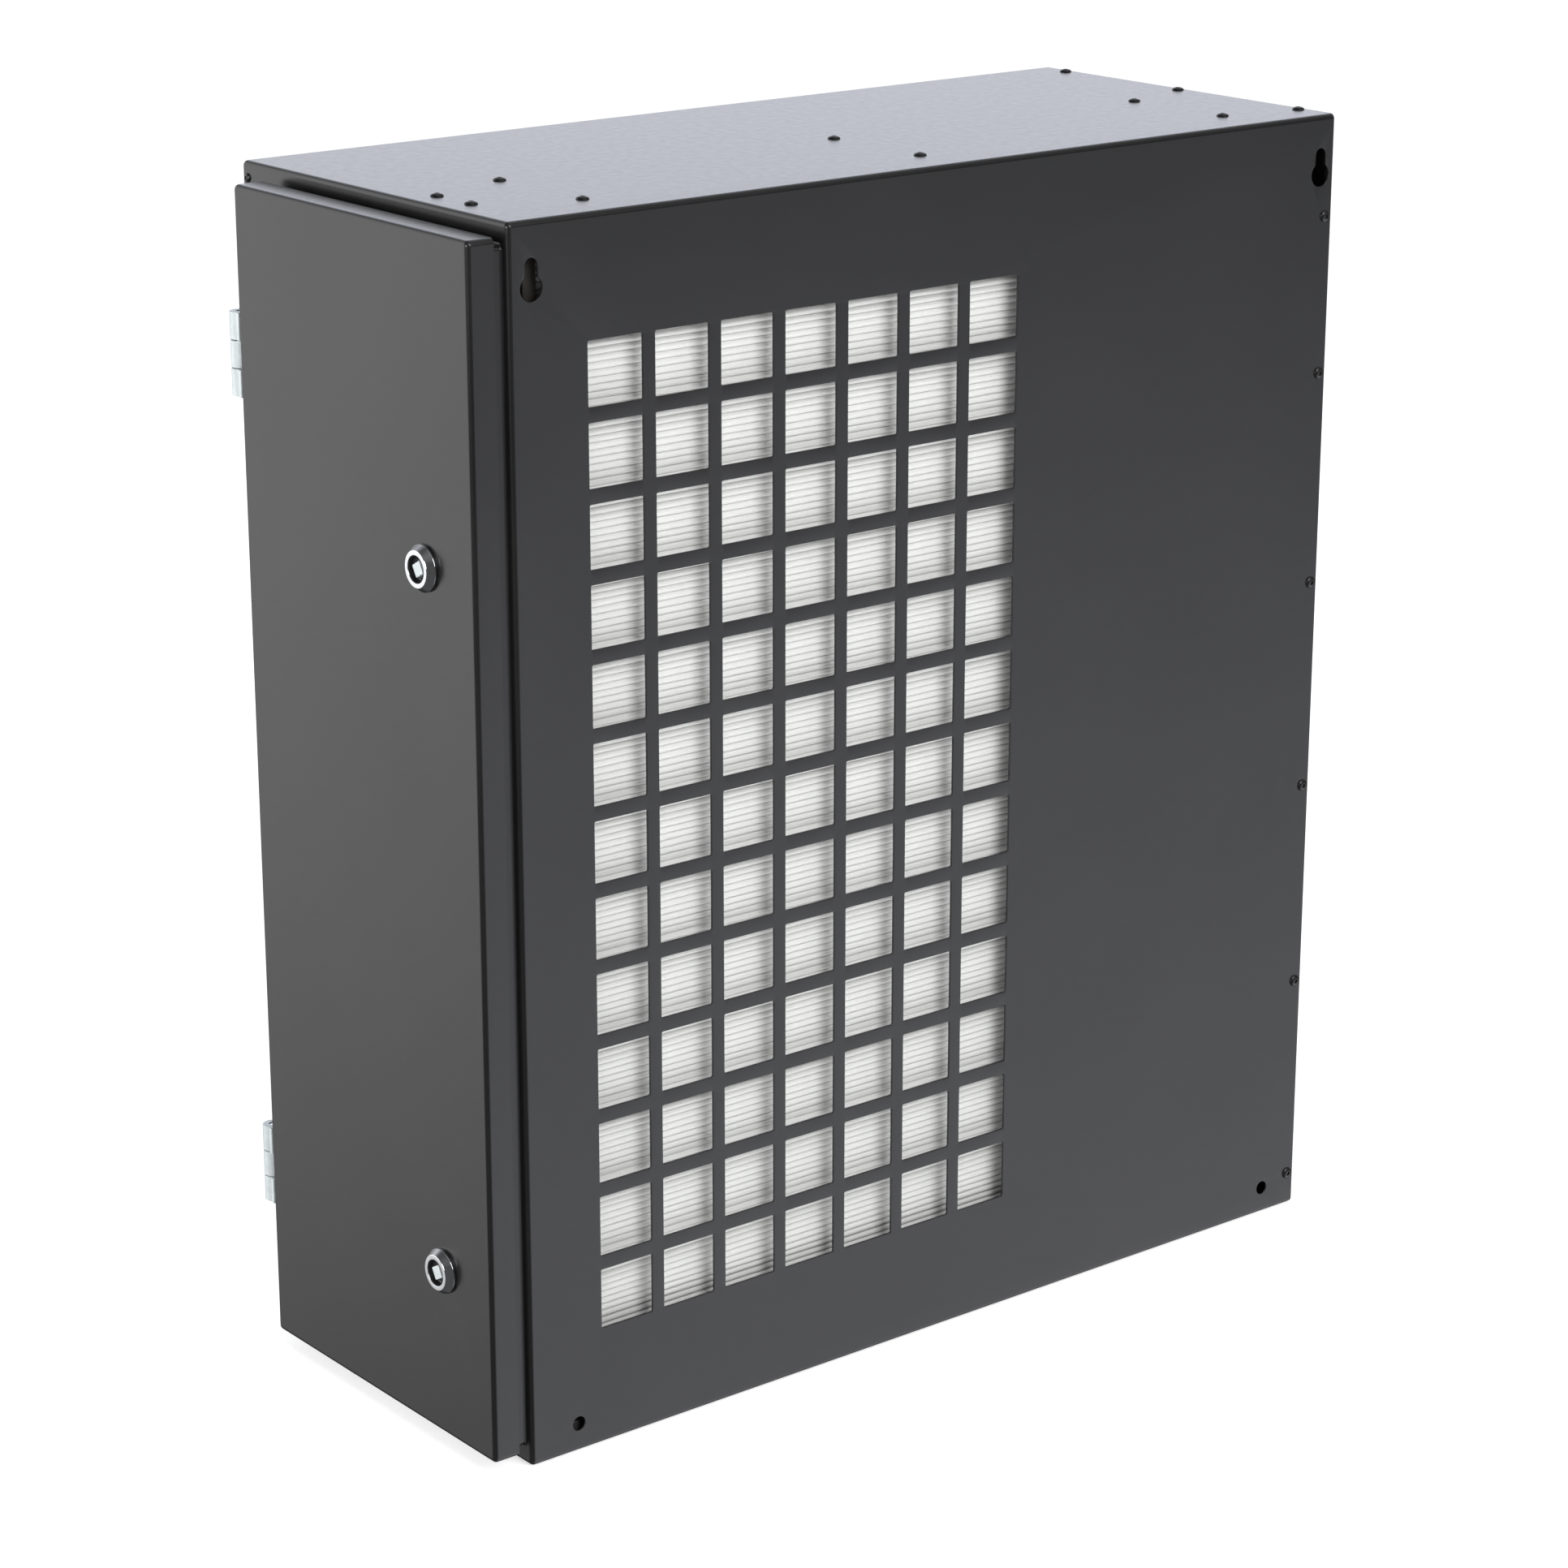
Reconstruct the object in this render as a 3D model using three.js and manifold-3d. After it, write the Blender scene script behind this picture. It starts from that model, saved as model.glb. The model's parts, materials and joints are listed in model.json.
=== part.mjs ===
// Solder fume extractor: a sheet-steel cabinet with a locked filter door on its left end.
// Fumes enter by two hose spigots on the right end. A fan pushes them through a pre-filter,
// a carbon cassette and a pleated particle filter, and clean air leaves by the front grille.
//
// Millimetres. While the parts are drawn, X runs along the width from the door end, Y from the
// grille face to the back and Z up from the underside. The whole group is then moved so that its
// origin is the middle of the underside of its bounding box.
import * as THREE from 'three';
import { mergeGeometries, mergeVertices } from 'three/addons/utils/BufferGeometryUtils.js';
import Module from 'manifold-3d';

const wasm = await Module();
wasm.setup();

// ---- Driving dimensions ----
const WIDTH = 640;
const DEPTH = 275;
const HEIGHT = 750;
const SHEET = 1.5;
const BEND = 3;
const GAP = 0.3;

const GRILLE = { columns: 7, rows: 13, hole: 38, pitch: 47, left: 53, top: 678 };
const KEYHOLE = { radius: 7.5, slot: 8.5, z: 712, top: 729, x: [15.5, WIDTH - 11] };
const FIXING_HOLE = { radius: 4.5, z: 18.3, x: [35, WIDTH - 29.5] };

const RIVET = { head: 4, rise: 1.6, shank: 2, hole: 2.3, bulb: 2.9, length: 6 };
const END_RIVET_INSET = 5.5;
const END_FLANGE = 15;
const END_NOTCH = { y: [0, 8], z: [700, 735] };
const FRONT_RIVET_Z = [23, 164, 303, 443, 583, 685];
const END_RIVET_Y = [27, 138, 248];
const RAIL_RIVET_X = [77.5, 326, 577];
const BRACKET_RIVET = { x: 19, y: [62, 96] };

const DOOR = { face: -26, rim: -8, y: [1, 243], z: [9.5, 742.5] };
const DOOR_OPENING = { y: [6.5, 228.5], z: [14.5, 735.5], lip: -14 };
const HINGE = { x: -19.5, y: 251, z: [640, 121], radius: 6.5, height: 51, leaf: 3, bore: 2.5, pin: 2.2 };
const KNUCKLE = HINGE.height / 6;
const LOCK = { y: 51, z: [550, 118], bezel: 14, proud: 6, body: 9.5, plug: 6, square: 8, seat: 7 };
const LOCK_FACE = DOOR.face - LOCK.proud;
const LOCK_REAR = DOOR.face + 22;
const CAM = { x: [BEND + 0.5, BEND + 3], eye: 9, width: 14, reach: 47 };

const RAIL = { y: [37, 118.5], x: [60, 595], width: 12, drop: 24 };
const FILTER_X = [15, 399];
const FILTER_Z = [16, 734];
const PARTICLE_Y = [8, 30.5];
const PARTICLE_WALL = 9;
const CARBON_Y = [43.5, 101];
const CASSETTE = { wall: 2, lip: 14 };
const PREFILTER_Y = [102, 112];
const PLEAT = { pitch: 8.4, height: 3, setBack: 4 };
const SEAL = { band: 12, margin: 6, spare: 10 };

const DIVIDER_X = 402;
const PARTITION_Y = 125;
const FAN = { x: 362, y: 198, z: 400, radius: 63, width: 36, eye: 38, plate: 2, shaft: 4 };
const HUB = { radius: 15, length: 18 };
const BLADES = { count: 9, inner: 37, outer: 62, thick: 1.6, sweep: 0.75 };
const INLET_RING = { x: [FAN.x + FAN.width - 6, DIVIDER_X + SHEET], throat: 32, seat: 44 };
const MOTOR = { radius: 36, x: [300, 358], boss: 16 };
const MOTOR_BRACKET = { plate: 3, foot: 40, below: 45, half: 55 };
const SPIGOT = { radius: 37.5, wall: 1.5, reach: 50, flange: 50, bead: 8, y: 198 };
SPIGOT.z = { upper: 560, lower: 190 };

const CONTROLS = { y: 62, socketZ: 62, rockerZ: 118, knobZ: 172 };
const SOCKET = { flange: [11.5, 25], body: [10, 13.5], mouth: [8, 12], depth: 18, screw: 1.7, screwZ: 20 };
const ROCKER_BOX = { bezel: [11, 17], body: [9, 15], mouth: [7, 13.5], depth: 12 };
const POTENTIOMETER = { body: 12, bush: 3.7, nut: 7, bore: 3.2, spindle: 2.8 };
const SPEED_BOX = { x: [480, 580], z: [275, 425], depth: 62, fin: 3, finPitch: 15, finDepth: 10 };
const ROCKER = { width: 12.4, length: 25, pivot: 3, tilt: THREE.MathUtils.degToRad(10) };
const KNOB = { radius: 11, height: 14, start: THREE.MathUtils.degToRad(135) };

const INNER = { x: [GAP, WIDTH - SHEET - 2 * GAP], y: [SHEET + GAP, DEPTH - SHEET - GAP] };
INNER.z = [SHEET + GAP, HEIGHT - SHEET - GAP];
const PLATE_Z = [SHEET + 1, HEIGHT - SHEET - 1];
const END_FACE = WIDTH - 0.5;
const PANEL_X = [BEND + GAP, WIDTH];
const FLAT_Y = [BEND + GAP, DEPTH - BEND - GAP];

// ---- Materials ----
function material(color, roughness, metalness) {
  return new THREE.MeshStandardMaterial({ color, roughness, metalness });
}

const FINISH = {
  powderCoat: material(0x17181a, 0.42, 0.3),
  galvanised: material(0xa9adb0, 0.45, 0.9),
  zincCast: material(0xc9d2d4, 0.4, 0.85),
  chrome: material(0xe3e6e8, 0.12, 1),
  darkSteel: material(0x2a2b2d, 0.5, 0.8),
  filterPaper: material(0xf3f4f1, 0.9, 0),
  filterFrame: material(0xd9dadb, 0.5, 0.6),
  carbon: material(0x1b1b1b, 0.95, 0),
  fleece: material(0xe6e8e4, 0.95, 0),
  foam: material(0x111111, 0.95, 0),
  plastic: material(0x1a1a1b, 0.5, 0),
};

// ---- Geometry helpers ----
function signedVolume(geometry) {
  const p = geometry.attributes.position;
  const index = geometry.index.array;
  const a = new THREE.Vector3();
  const b = new THREE.Vector3();
  const c = new THREE.Vector3();
  let sum = 0;
  for (let i = 0; i < index.length; i += 3) {
    a.fromBufferAttribute(p, index[i]);
    b.fromBufferAttribute(p, index[i + 1]);
    c.fromBufferAttribute(p, index[i + 2]);
    sum += a.dot(b.cross(c)) / 6;
  }
  return sum;
}

// Merges shared corners and turns the faces outward.
function closed(geometry) {
  geometry.deleteAttribute('normal');
  geometry.deleteAttribute('uv');
  const merged = mergeVertices(geometry, 1e-4);
  if (signedVolume(merged) < 0) {
    merged.index.array.reverse();
  }
  return merged;
}

function toSolid(geometry) {
  const merged = closed(geometry);
  const vertProperties = new Float32Array(merged.attributes.position.array);
  const triVerts = new Uint32Array(merged.index.array);
  return new wasm.Manifold(new wasm.Mesh({ numProp: 3, vertProperties, triVerts }));
}

function toGeometry(solid) {
  const mesh = solid.getMesh();
  const geometry = new THREE.BufferGeometry();
  geometry.setAttribute('position', new THREE.BufferAttribute(mesh.vertProperties, 3));
  geometry.setIndex(new THREE.BufferAttribute(mesh.triVerts, 1));
  return geometry;
}

function join(...geometries) {
  return toGeometry(geometries.map(toSolid).reduce((all, next) => all.add(next)));
}

function cut(geometry, ...tools) {
  return toGeometry(tools.map(toSolid).reduce((rest, tool) => rest.subtract(tool), toSolid(geometry)));
}

function block([x0, x1], [y0, y1], [z0, z1]) {
  const geometry = new THREE.BoxGeometry(x1 - x0, y1 - y0, z1 - z0);
  return geometry.translate((x0 + x1) / 2, (y0 + y1) / 2, (z0 + z1) / 2);
}

// Where the flat drawing's own x, y and extrusion directions go for each direction of extrusion.
const BASES = {
  x: [[0, 1, 0], [0, 0, 1], [1, 0, 0]],
  y: [[1, 0, 0], [0, 0, 1], [0, 1, 0]],
  z: [[1, 0, 0], [0, 1, 0], [0, 0, 1]],
};

function basis(axis) {
  const [a, b, c] = BASES[axis].map((direction) => new THREE.Vector3(...direction));
  return new THREE.Matrix4().makeBasis(a, b, c);
}

// Extrudes a flat shape between two positions on an axis. The shape is drawn in the other two
// axes, in X, Y, Z order.
function extrude(shape, axis, [from, to], curveSegments = 2) {
  const options = { depth: to - from, bevelEnabled: false, curveSegments };
  const geometry = new THREE.ExtrudeGeometry(shape, options);
  return geometry.translate(0, 0, from).applyMatrix4(basis(axis));
}

function polygon(points) {
  return new THREE.Shape(points.map(([x, y]) => new THREE.Vector2(x, y)));
}

// A round solid or ring. The profile gives [radius, position along the axis] and either starts
// and ends on the axis or is closed by repeating its first point.
function turn(profile, axis, a, b, segments = 24) {
  const points = profile.map(([radius, along]) => new THREE.Vector2(radius, along));
  const geometry = new THREE.LatheGeometry(points, segments).rotateX(Math.PI / 2);
  geometry.applyMatrix4(basis(axis));
  const place = { x: [0, a, b], y: [a, 0, b], z: [a, b, 0] }[axis];
  return geometry.translate(...place);
}

function rod(radius, axis, [from, to], a, b, segments = 24) {
  return turn([[0, from], [radius, from], [radius, to], [0, to]], axis, a, b, segments);
}

function ring(outer, inner, axis, [from, to], a, b, segments = 24) {
  const profile = [[inner, from], [outer, from], [outer, to], [inner, to], [inner, from]];
  return turn(profile, axis, a, b, segments);
}

function roundedRectangle([x0, x1], [y0, y1], radius) {
  const quarter = Math.PI / 2;
  const shape = new THREE.Shape();
  shape.moveTo(x0 + radius, y0);
  shape.lineTo(x1 - radius, y0);
  shape.absarc(x1 - radius, y0 + radius, radius, -quarter, 0);
  shape.lineTo(x1, y1 - radius);
  shape.absarc(x1 - radius, y1 - radius, radius, 0, quarter);
  shape.lineTo(x0 + radius, y1);
  shape.absarc(x0 + radius, y1 - radius, radius, quarter, 2 * quarter);
  shape.lineTo(x0, y0 + radius);
  shape.absarc(x0 + radius, y0 + radius, radius, 2 * quarter, 3 * quarter);
  return shape;
}

// A block whose edges are all rounded, as bent and welded sheet is.
function roundedBlock([x0, x1], [y0, y1], [z0, z1], radius) {
  const corner = 1;
  const shape = roundedRectangle([y0 + radius, y1 - radius], [z0 + radius, z1 - radius], corner);
  const options = {
    depth: x1 - x0 - 2 * radius,
    bevelThickness: radius,
    bevelSize: radius,
    bevelSegments: 3,
    curveSegments: 1,
  };
  const geometry = new THREE.ExtrudeGeometry(shape, options);
  return geometry.translate(0, 0, x0 + radius).applyMatrix4(basis('x'));
}

// A shallow sheet tray: a face at one X, four bent flanges, and an open rim at another X.
function tray(face, rim, y, z) {
  const inward = Math.sign(rim - face);
  const beyond = rim + inward * 20;
  const span = (from) => [Math.min(from, beyond), Math.max(from, beyond)];
  const inset = ([low, high], amount) => [low + amount, high - amount];
  const outer = roundedBlock(span(face), y, z, BEND);
  const inner = roundedBlock(span(face + inward * SHEET), inset(y, SHEET), inset(z, SHEET), BEND - SHEET);
  const far = [Math.min(rim, rim + inward * 30), Math.max(rim, rim + inward * 30)];
  return cut(outer, inner, block(far, inset(y, -10), inset(z, -10)));
}

function bore(radius, axis, range, a, b, segments = 24) {
  return rod(radius, axis, range, a, b, segments);
}

function rivetHole(axis, range, a, b) {
  return bore(RIVET.hole, axis, range, a, b, 8);
}

// A set blind rivet. Its head stands on the sheet's outer face at `face` and `out` is the sign of
// the outward direction.
function rivetGeometry(axis, face, out, a, b) {
  const at = (height) => face + out * (GAP + height);
  const profile = [
    [0, at(RIVET.rise * 0.55)],
    [RIVET.head * 0.3, at(RIVET.rise)],
    [RIVET.head * 0.75, at(RIVET.rise * 0.75)],
    [RIVET.head, at(0)],
    [RIVET.shank, at(0)],
    [RIVET.shank, at(-SHEET * 2 - 3 * GAP)],
    [RIVET.bulb, at(-SHEET * 2 - 3 * GAP - 1)],
    [0, at(-RIVET.length)],
  ];
  return turn(profile, axis, a, b, 8);
}

// ---- Cabinet sheets ----
// A flat wall with its upper and lower edges rolled to meet the top and bottom sheets.
// `face` is the outer Y and `inward` the sign of the way into the cabinet.
function rolledWall(face, inward, x) {
  const quarter = Math.PI / 2;
  const centre = face + inward * BEND;
  const mid = inward > 0 ? Math.PI : 0;
  const turnBy = inward > 0 ? -1 : 1;
  const arc = (radius, z, from, to) => {
    const path = new THREE.Path();
    path.absarc(centre, z, radius, from, to, to < from);
    return path.getPoints(2);
  };
  const up = mid + turnBy * quarter;
  const down = mid - turnBy * quarter;
  const outline = [
    ...arc(BEND, BEND, down, mid),
    ...arc(BEND, HEIGHT - BEND, mid, up),
    ...arc(BEND - SHEET, HEIGHT - BEND, up, mid),
    ...arc(BEND - SHEET, BEND, mid, down),
  ];
  return extrude(new THREE.Shape(outline), 'x', x);
}

function grilleHoles() {
  const holes = [];
  for (let column = 0; column < GRILLE.columns; column += 1) {
    for (let row = 0; row < GRILLE.rows; row += 1) {
      const x = GRILLE.left + column * GRILLE.pitch;
      const z = GRILLE.top - row * GRILLE.pitch;
      holes.push(block([x, x + GRILLE.hole], [-5, 5], [z - GRILLE.hole, z]));
    }
  }
  return mergeGeometries(holes);
}

function keyholes() {
  const range = [-5, 5];
  return KEYHOLE.x.flatMap((x) => [
    bore(KEYHOLE.radius, 'y', range, x, KEYHOLE.z, 16),
    block([x - KEYHOLE.slot / 2, x + KEYHOLE.slot / 2], range, [KEYHOLE.z, KEYHOLE.top]),
  ]);
}

function grillePanel() {
  const range = [-5, 5];
  const fixings = FIXING_HOLE.x.map((x) => bore(FIXING_HOLE.radius, 'y', range, x, FIXING_HOLE.z, 12));
  const x = WIDTH - END_RIVET_INSET;
  const rivets = FRONT_RIVET_Z.map((z) => rivetHole('y', range, x, z));
  return cut(rolledWall(0, 1, PANEL_X), grilleHoles(), ...keyholes(), ...fixings, ...rivets);
}

function topRivetPlaces() {
  const end = END_RIVET_Y.map((y) => [WIDTH - END_RIVET_INSET, y]);
  const rails = RAIL.y.flatMap((y) => RAIL_RIVET_X.map((x) => [x, y]));
  const bracket = BRACKET_RIVET.y.map((y) => [BRACKET_RIVET.x, y]);
  return [...end, ...rails, ...bracket];
}

function topPanel() {
  const holes = topRivetPlaces().map(([x, y]) => rivetHole('z', [HEIGHT - 5, HEIGHT + 5], x, y));
  return cut(block(PANEL_X, FLAT_Y, [HEIGHT - SHEET, HEIGHT]), ...holes);
}

// A block centred on the controls' line, `half` being its half sizes along Y and Z.
function controlBlock(x, half, z, clearance = 0) {
  const [across, up] = half.map((size) => size + clearance);
  return block(x, [CONTROLS.y - across, CONTROLS.y + across], [z - up, z + up]);
}

function controlPlate(x, half, z, radius) {
  const [across, up] = half;
  const { y } = CONTROLS;
  return extrude(roundedRectangle([y - across, y + across], [z - up, z + up], radius), 'x', x, 1);
}

// The right end: a tray whose flanges are riveted inside the other sheets. One flange is notched
// behind the keyhole so that a screw head can enter.
function endPanel() {
  const through = [END_FACE - 5, END_FACE + 5];
  const rivetX = WIDTH - END_RIVET_INSET;
  const spigots = Object.values(SPIGOT.z).map((z) => bore(SPIGOT.radius - 1, 'x', through, SPIGOT.y, z));
  return cut(
    tray(END_FACE, END_FACE - END_FLANGE, INNER.y, INNER.z),
    ...spigots,
    ...FRONT_RIVET_Z.map((z) => rivetHole('y', [0, 6], rivetX, z)),
    ...END_RIVET_Y.map((at) => rivetHole('z', [HEIGHT - 6, HEIGHT], rivetX, at)),
    block([END_FACE - END_FLANGE - 1, END_FACE - BEND], END_NOTCH.y, END_NOTCH.z),
    controlBlock(through, SOCKET.body, CONTROLS.socketZ, 0.5),
    controlBlock(through, ROCKER_BOX.body, CONTROLS.rockerZ, 0.5),
    bore(POTENTIOMETER.bush + GAP, 'x', through, CONTROLS.y, CONTROLS.knobZ, 16),
  );
}

// The left end: bent edges, a flange round the doorway and an outward lip that meets the door seal.
function doorFrame() {
  const { y, z, lip } = DOOR_OPENING;
  const outset = ([low, high]) => [low - SHEET, high + SHEET];
  const lipRing = cut(block([lip, SHEET], outset(y), outset(z)), block([lip - 1, SHEET + 1], y, z));
  const flange = cut(tray(0, BEND, [0, DEPTH], [0, HEIGHT]), block([-1, BEND + 1], y, z));
  return join(flange, lipRing);
}

// Ties the top sheet to the door frame. Its two rivets are set in it.
function doorFrameBracket() {
  const top = HEIGHT - SHEET - GAP;
  const y = [50, 108];
  const foot = block([6, 30], y, [top - SHEET, top]);
  const web = block([6, 6 + SHEET], y, [top - 10, top]);
  const rivets = BRACKET_RIVET.y.map((at) => rivetGeometry('z', HEIGHT, 1, BRACKET_RIVET.x, at));
  return join(foot, web, ...rivets);
}

// ---- Filter chamber ----
// A downward channel under the top sheet that guides the filters. Its three rivets are set in it.
function upperRail(y) {
  const top = HEIGHT - SHEET - GAP;
  const half = RAIL.width / 2;
  const channel = cut(
    block(RAIL.x, [y - half, y + half], [top - RAIL.drop, top]),
    block([0, WIDTH], [y - half + SHEET, y + half - SHEET], [top - RAIL.drop - 1, top - SHEET]),
  );
  return join(channel, ...RAIL_RIVET_X.map((x) => rivetGeometry('z', HEIGHT, 1, x, y)));
}

// A folded shelf that the filters stand on, with a rib between them and one behind them.
function filterTray() {
  const floor = INNER.z[0];
  const shelf = FILTER_Z[0] - GAP;
  const rib = shelf + 12;
  const half = RAIL.width / 2;
  const [front, rear] = RAIL.y;
  const outline = [
    [PARTICLE_Y[0], floor], [PARTICLE_Y[0], shelf],
    [front - half, shelf], [front - half, rib], [front + half, rib], [front + half, shelf],
    [rear - half, shelf], [rear - half, rib], [rear + half, rib], [rear + half, floor],
    [rear + half - SHEET, floor], [rear + half - SHEET, rib - SHEET],
    [rear - half + SHEET, rib - SHEET], [rear - half + SHEET, shelf - SHEET],
    [front + half - SHEET, shelf - SHEET], [front + half - SHEET, rib - SHEET],
    [front - half + SHEET, rib - SHEET], [front - half + SHEET, shelf - SHEET],
    [PARTICLE_Y[0] + SHEET, shelf - SHEET], [PARTICLE_Y[0] + SHEET, floor],
  ];
  return extrude(polygon(outline), 'x', [FILTER_X[0], FILTER_X[1]]);
}

function grilleSeal() {
  const across = (GRILLE.columns - 1) * GRILLE.pitch + GRILLE.hole;
  const down = (GRILLE.rows - 1) * GRILLE.pitch + GRILLE.hole;
  const y = [SHEET + GAP, PARTICLE_Y[0] - GAP];
  const x = [GRILLE.left - SEAL.margin, GRILLE.left + across + SEAL.spare];
  const z = [GRILLE.top - down - SEAL.spare, GRILLE.top + SEAL.margin];
  const outset = ([low, high]) => [low - SEAL.band, high + SEAL.band];
  return cut(block(outset(x), y, outset(z)), block(x, [0, 20], z));
}

function particleFilterFrame() {
  const x = [FILTER_X[0] + PARTICLE_WALL, FILTER_X[1] - PARTICLE_WALL];
  const z = [FILTER_Z[0] + PARTICLE_WALL, FILTER_Z[1] - PARTICLE_WALL];
  return cut(block(FILTER_X, PARTICLE_Y, FILTER_Z), block(x, [0, 60], z));
}

// Folded filter paper, with its folds running along the width. Each ridge drawn here stands for
// two folds of the paper.
function particleFilterMedia() {
  const inset = PARTICLE_WALL + GAP;
  const z = [FILTER_Z[0] + inset, FILTER_Z[1] - inset];
  const front = PARTICLE_Y[0] + PLEAT.setBack;
  const back = PARTICLE_Y[1] - 1;
  const count = Math.floor((z[1] - z[0]) / PLEAT.pitch);
  const pitch = (z[1] - z[0]) / count;
  const outline = [[back, z[0]], [back, z[1]]];
  for (let fold = count; fold > 0; fold -= 1) {
    outline.push([front + PLEAT.height, z[0] + fold * pitch]);
    outline.push([front, z[0] + (fold - 0.5) * pitch]);
  }
  outline.push([front + PLEAT.height, z[0]]);
  return extrude(polygon(outline), 'x', [FILTER_X[0] + inset, FILTER_X[1] - inset]);
}

function insideCassette(clearance) {
  const inset = ([low, high]) => [low + CASSETTE.wall + clearance, high - CASSETTE.wall - clearance];
  return block(inset(FILTER_X), inset(CARBON_Y), inset(FILTER_Z));
}

// A folded casing, open at the front and back inside a lip that holds the carbon in.
function carbonCassette() {
  const inset = ([low, high]) => [low + CASSETTE.lip, high - CASSETTE.lip];
  const mouths = block(inset(FILTER_X), [CARBON_Y[0] - 1, CARBON_Y[1] + 1], inset(FILTER_Z));
  return cut(block(FILTER_X, CARBON_Y, FILTER_Z), insideCassette(0), mouths);
}

function prefilterPad() {
  const x = [FILTER_X[0] + 1, FILTER_X[1] - 1];
  const z = [FILTER_Z[0] + GAP, FILTER_Z[1] - 2];
  return extrude(roundedRectangle(x, z, 6), 'y', PREFILTER_Y, 1);
}

// ---- Walls inside the cabinet ----
function bayDivider() {
  const z = [FILTER_Z[0] + 14, HEIGHT - SHEET - RAIL.drop - 2 * GAP - 1];
  return block([DIVIDER_X, DIVIDER_X + SHEET], [INNER.y[0], PARTITION_Y - GAP], z);
}

function partitionPlate() {
  return block([DIVIDER_X, END_FACE - 16], [PARTITION_Y, PARTITION_Y + SHEET], PLATE_Z);
}

function fanBulkhead() {
  const y = [PARTITION_Y + SHEET + GAP, INNER.y[1]];
  const plate = block([DIVIDER_X, DIVIDER_X + SHEET], y, PLATE_Z);
  return cut(plate, bore(INLET_RING.throat + 4, 'x', [DIVIDER_X - 5, DIVIDER_X + 5], FAN.y, FAN.z));
}

// ---- Fan ----
// A bell-mouthed ring that leads the air from the bulkhead into the eye of the impeller.
function inletRing() {
  const { x: [tip], throat, seat } = INLET_RING;
  const face = DIVIDER_X - GAP;
  const profile = [
    [throat, tip], [throat + SHEET, tip], [throat + 3, face - SHEET], [seat, face - SHEET],
    [seat, face], [throat + 2, face], [throat, tip + 2], [throat, tip],
  ];
  return turn(profile, 'x', FAN.y, FAN.z);
}

function impellerBlade(turnBy) {
  const { inner, outer, thick, sweep } = BLADES;
  const steps = 3;
  const edge = (offset) => Array.from({ length: steps + 1 }, (_, step) => {
    const t = step / steps;
    const radius = inner + (outer - inner) * t;
    const angle = turnBy - sweep * t + offset / radius;
    return [radius * Math.cos(angle) + FAN.y, radius * Math.sin(angle) + FAN.z];
  });
  const outline = [...edge(0), ...edge(thick).reverse()];
  return extrude(polygon(outline), 'x', [FAN.x + 1, FAN.x + FAN.width - 1]);
}

function impeller() {
  const { x, y, z, radius, width, eye, plate } = FAN;
  const backPlate = rod(radius, 'x', [x, x + plate], y, z, 24);
  const shroud = ring(radius, eye, 'x', [x + width - plate, x + width], y, z, 24);
  const hub = rod(HUB.radius, 'x', [x, x + HUB.length], y, z, 16);
  const step = (2 * Math.PI) / BLADES.count;
  const blades = Array.from({ length: BLADES.count }, (_, i) => impellerBlade(i * step));
  const whole = join(backPlate, shroud, hub, ...blades);
  return cut(whole, bore(FAN.shaft + GAP, 'x', [x - 1, x + 30], y, z, 12));
}

function fanMotor() {
  const { radius, boss, x: [rear, front] } = MOTOR;
  const profile = [
    [0, rear], [radius - 3, rear], [radius, rear + 3], [radius, front - 6], [radius - 3, front - 3],
    [boss, front - 3], [boss, front], [FAN.shaft + GAP, front], [FAN.shaft + GAP, rear + 4], [0, rear + 4],
  ];
  return turn(profile, 'x', FAN.y, FAN.z, 20);
}

function motorBracket() {
  const x = MOTOR.x[0] - GAP;
  const { plate: thick, foot: reach, below, half } = MOTOR_BRACKET;
  const z = [FAN.z - half, FAN.z + half];
  const plate = block([x - thick, x], [FAN.y - below, INNER.y[1]], z);
  const foot = block([x - reach, x], [INNER.y[1] - thick, INNER.y[1]], z);
  return join(plate, foot);
}

// ---- Right end fittings ----
// The tube that a hose is pushed over, with a bead near its tip.
function inletSpigot(z) {
  const { radius, wall, reach, bead, y } = SPIGOT;
  const seat = END_FACE + GAP;
  const tip = WIDTH + reach;
  const crest = tip - bead;
  const profile = [
    [radius - wall, seat], [radius, seat], [radius, crest - 1], [radius + 1, crest],
    [radius, crest + 1], [radius, tip], [radius - wall, tip], [radius - wall, seat],
  ];
  return turn(profile, 'x', y, z, 24);
}

function spigotFlange(z) {
  const seat = END_FACE + GAP;
  return ring(SPIGOT.flange, SPIGOT.radius + GAP, 'x', [seat, seat + SHEET], SPIGOT.y, z, 24);
}

function mainsInlet() {
  const { y, socketZ: z } = CONTROLS;
  const seat = END_FACE + GAP;
  const flange = controlPlate([seat, seat + 3], SOCKET.flange, z, 4);
  const body = controlBlock([seat - SOCKET.depth - 6, seat + 1], SOCKET.body, z);
  const socket = controlBlock([seat - SOCKET.depth, seat + 5], SOCKET.mouth, z);
  const screws = [-1, 1].map((side) => {
    return bore(SOCKET.screw, 'x', [seat - 1, seat + 4], y, z + side * SOCKET.screwZ, 12);
  });
  return cut(join(flange, body), socket, ...screws);
}

function rockerHousing() {
  const z = CONTROLS.rockerZ;
  const seat = END_FACE + GAP;
  const bezel = controlPlate([seat, seat + 2], ROCKER_BOX.bezel, z, 2);
  const body = controlBlock([seat - ROCKER_BOX.depth - 8, seat + 1], ROCKER_BOX.body, z);
  const well = controlBlock([seat - ROCKER_BOX.depth, seat + 5], ROCKER_BOX.mouth, z);
  return cut(join(bezel, body), well);
}

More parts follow.
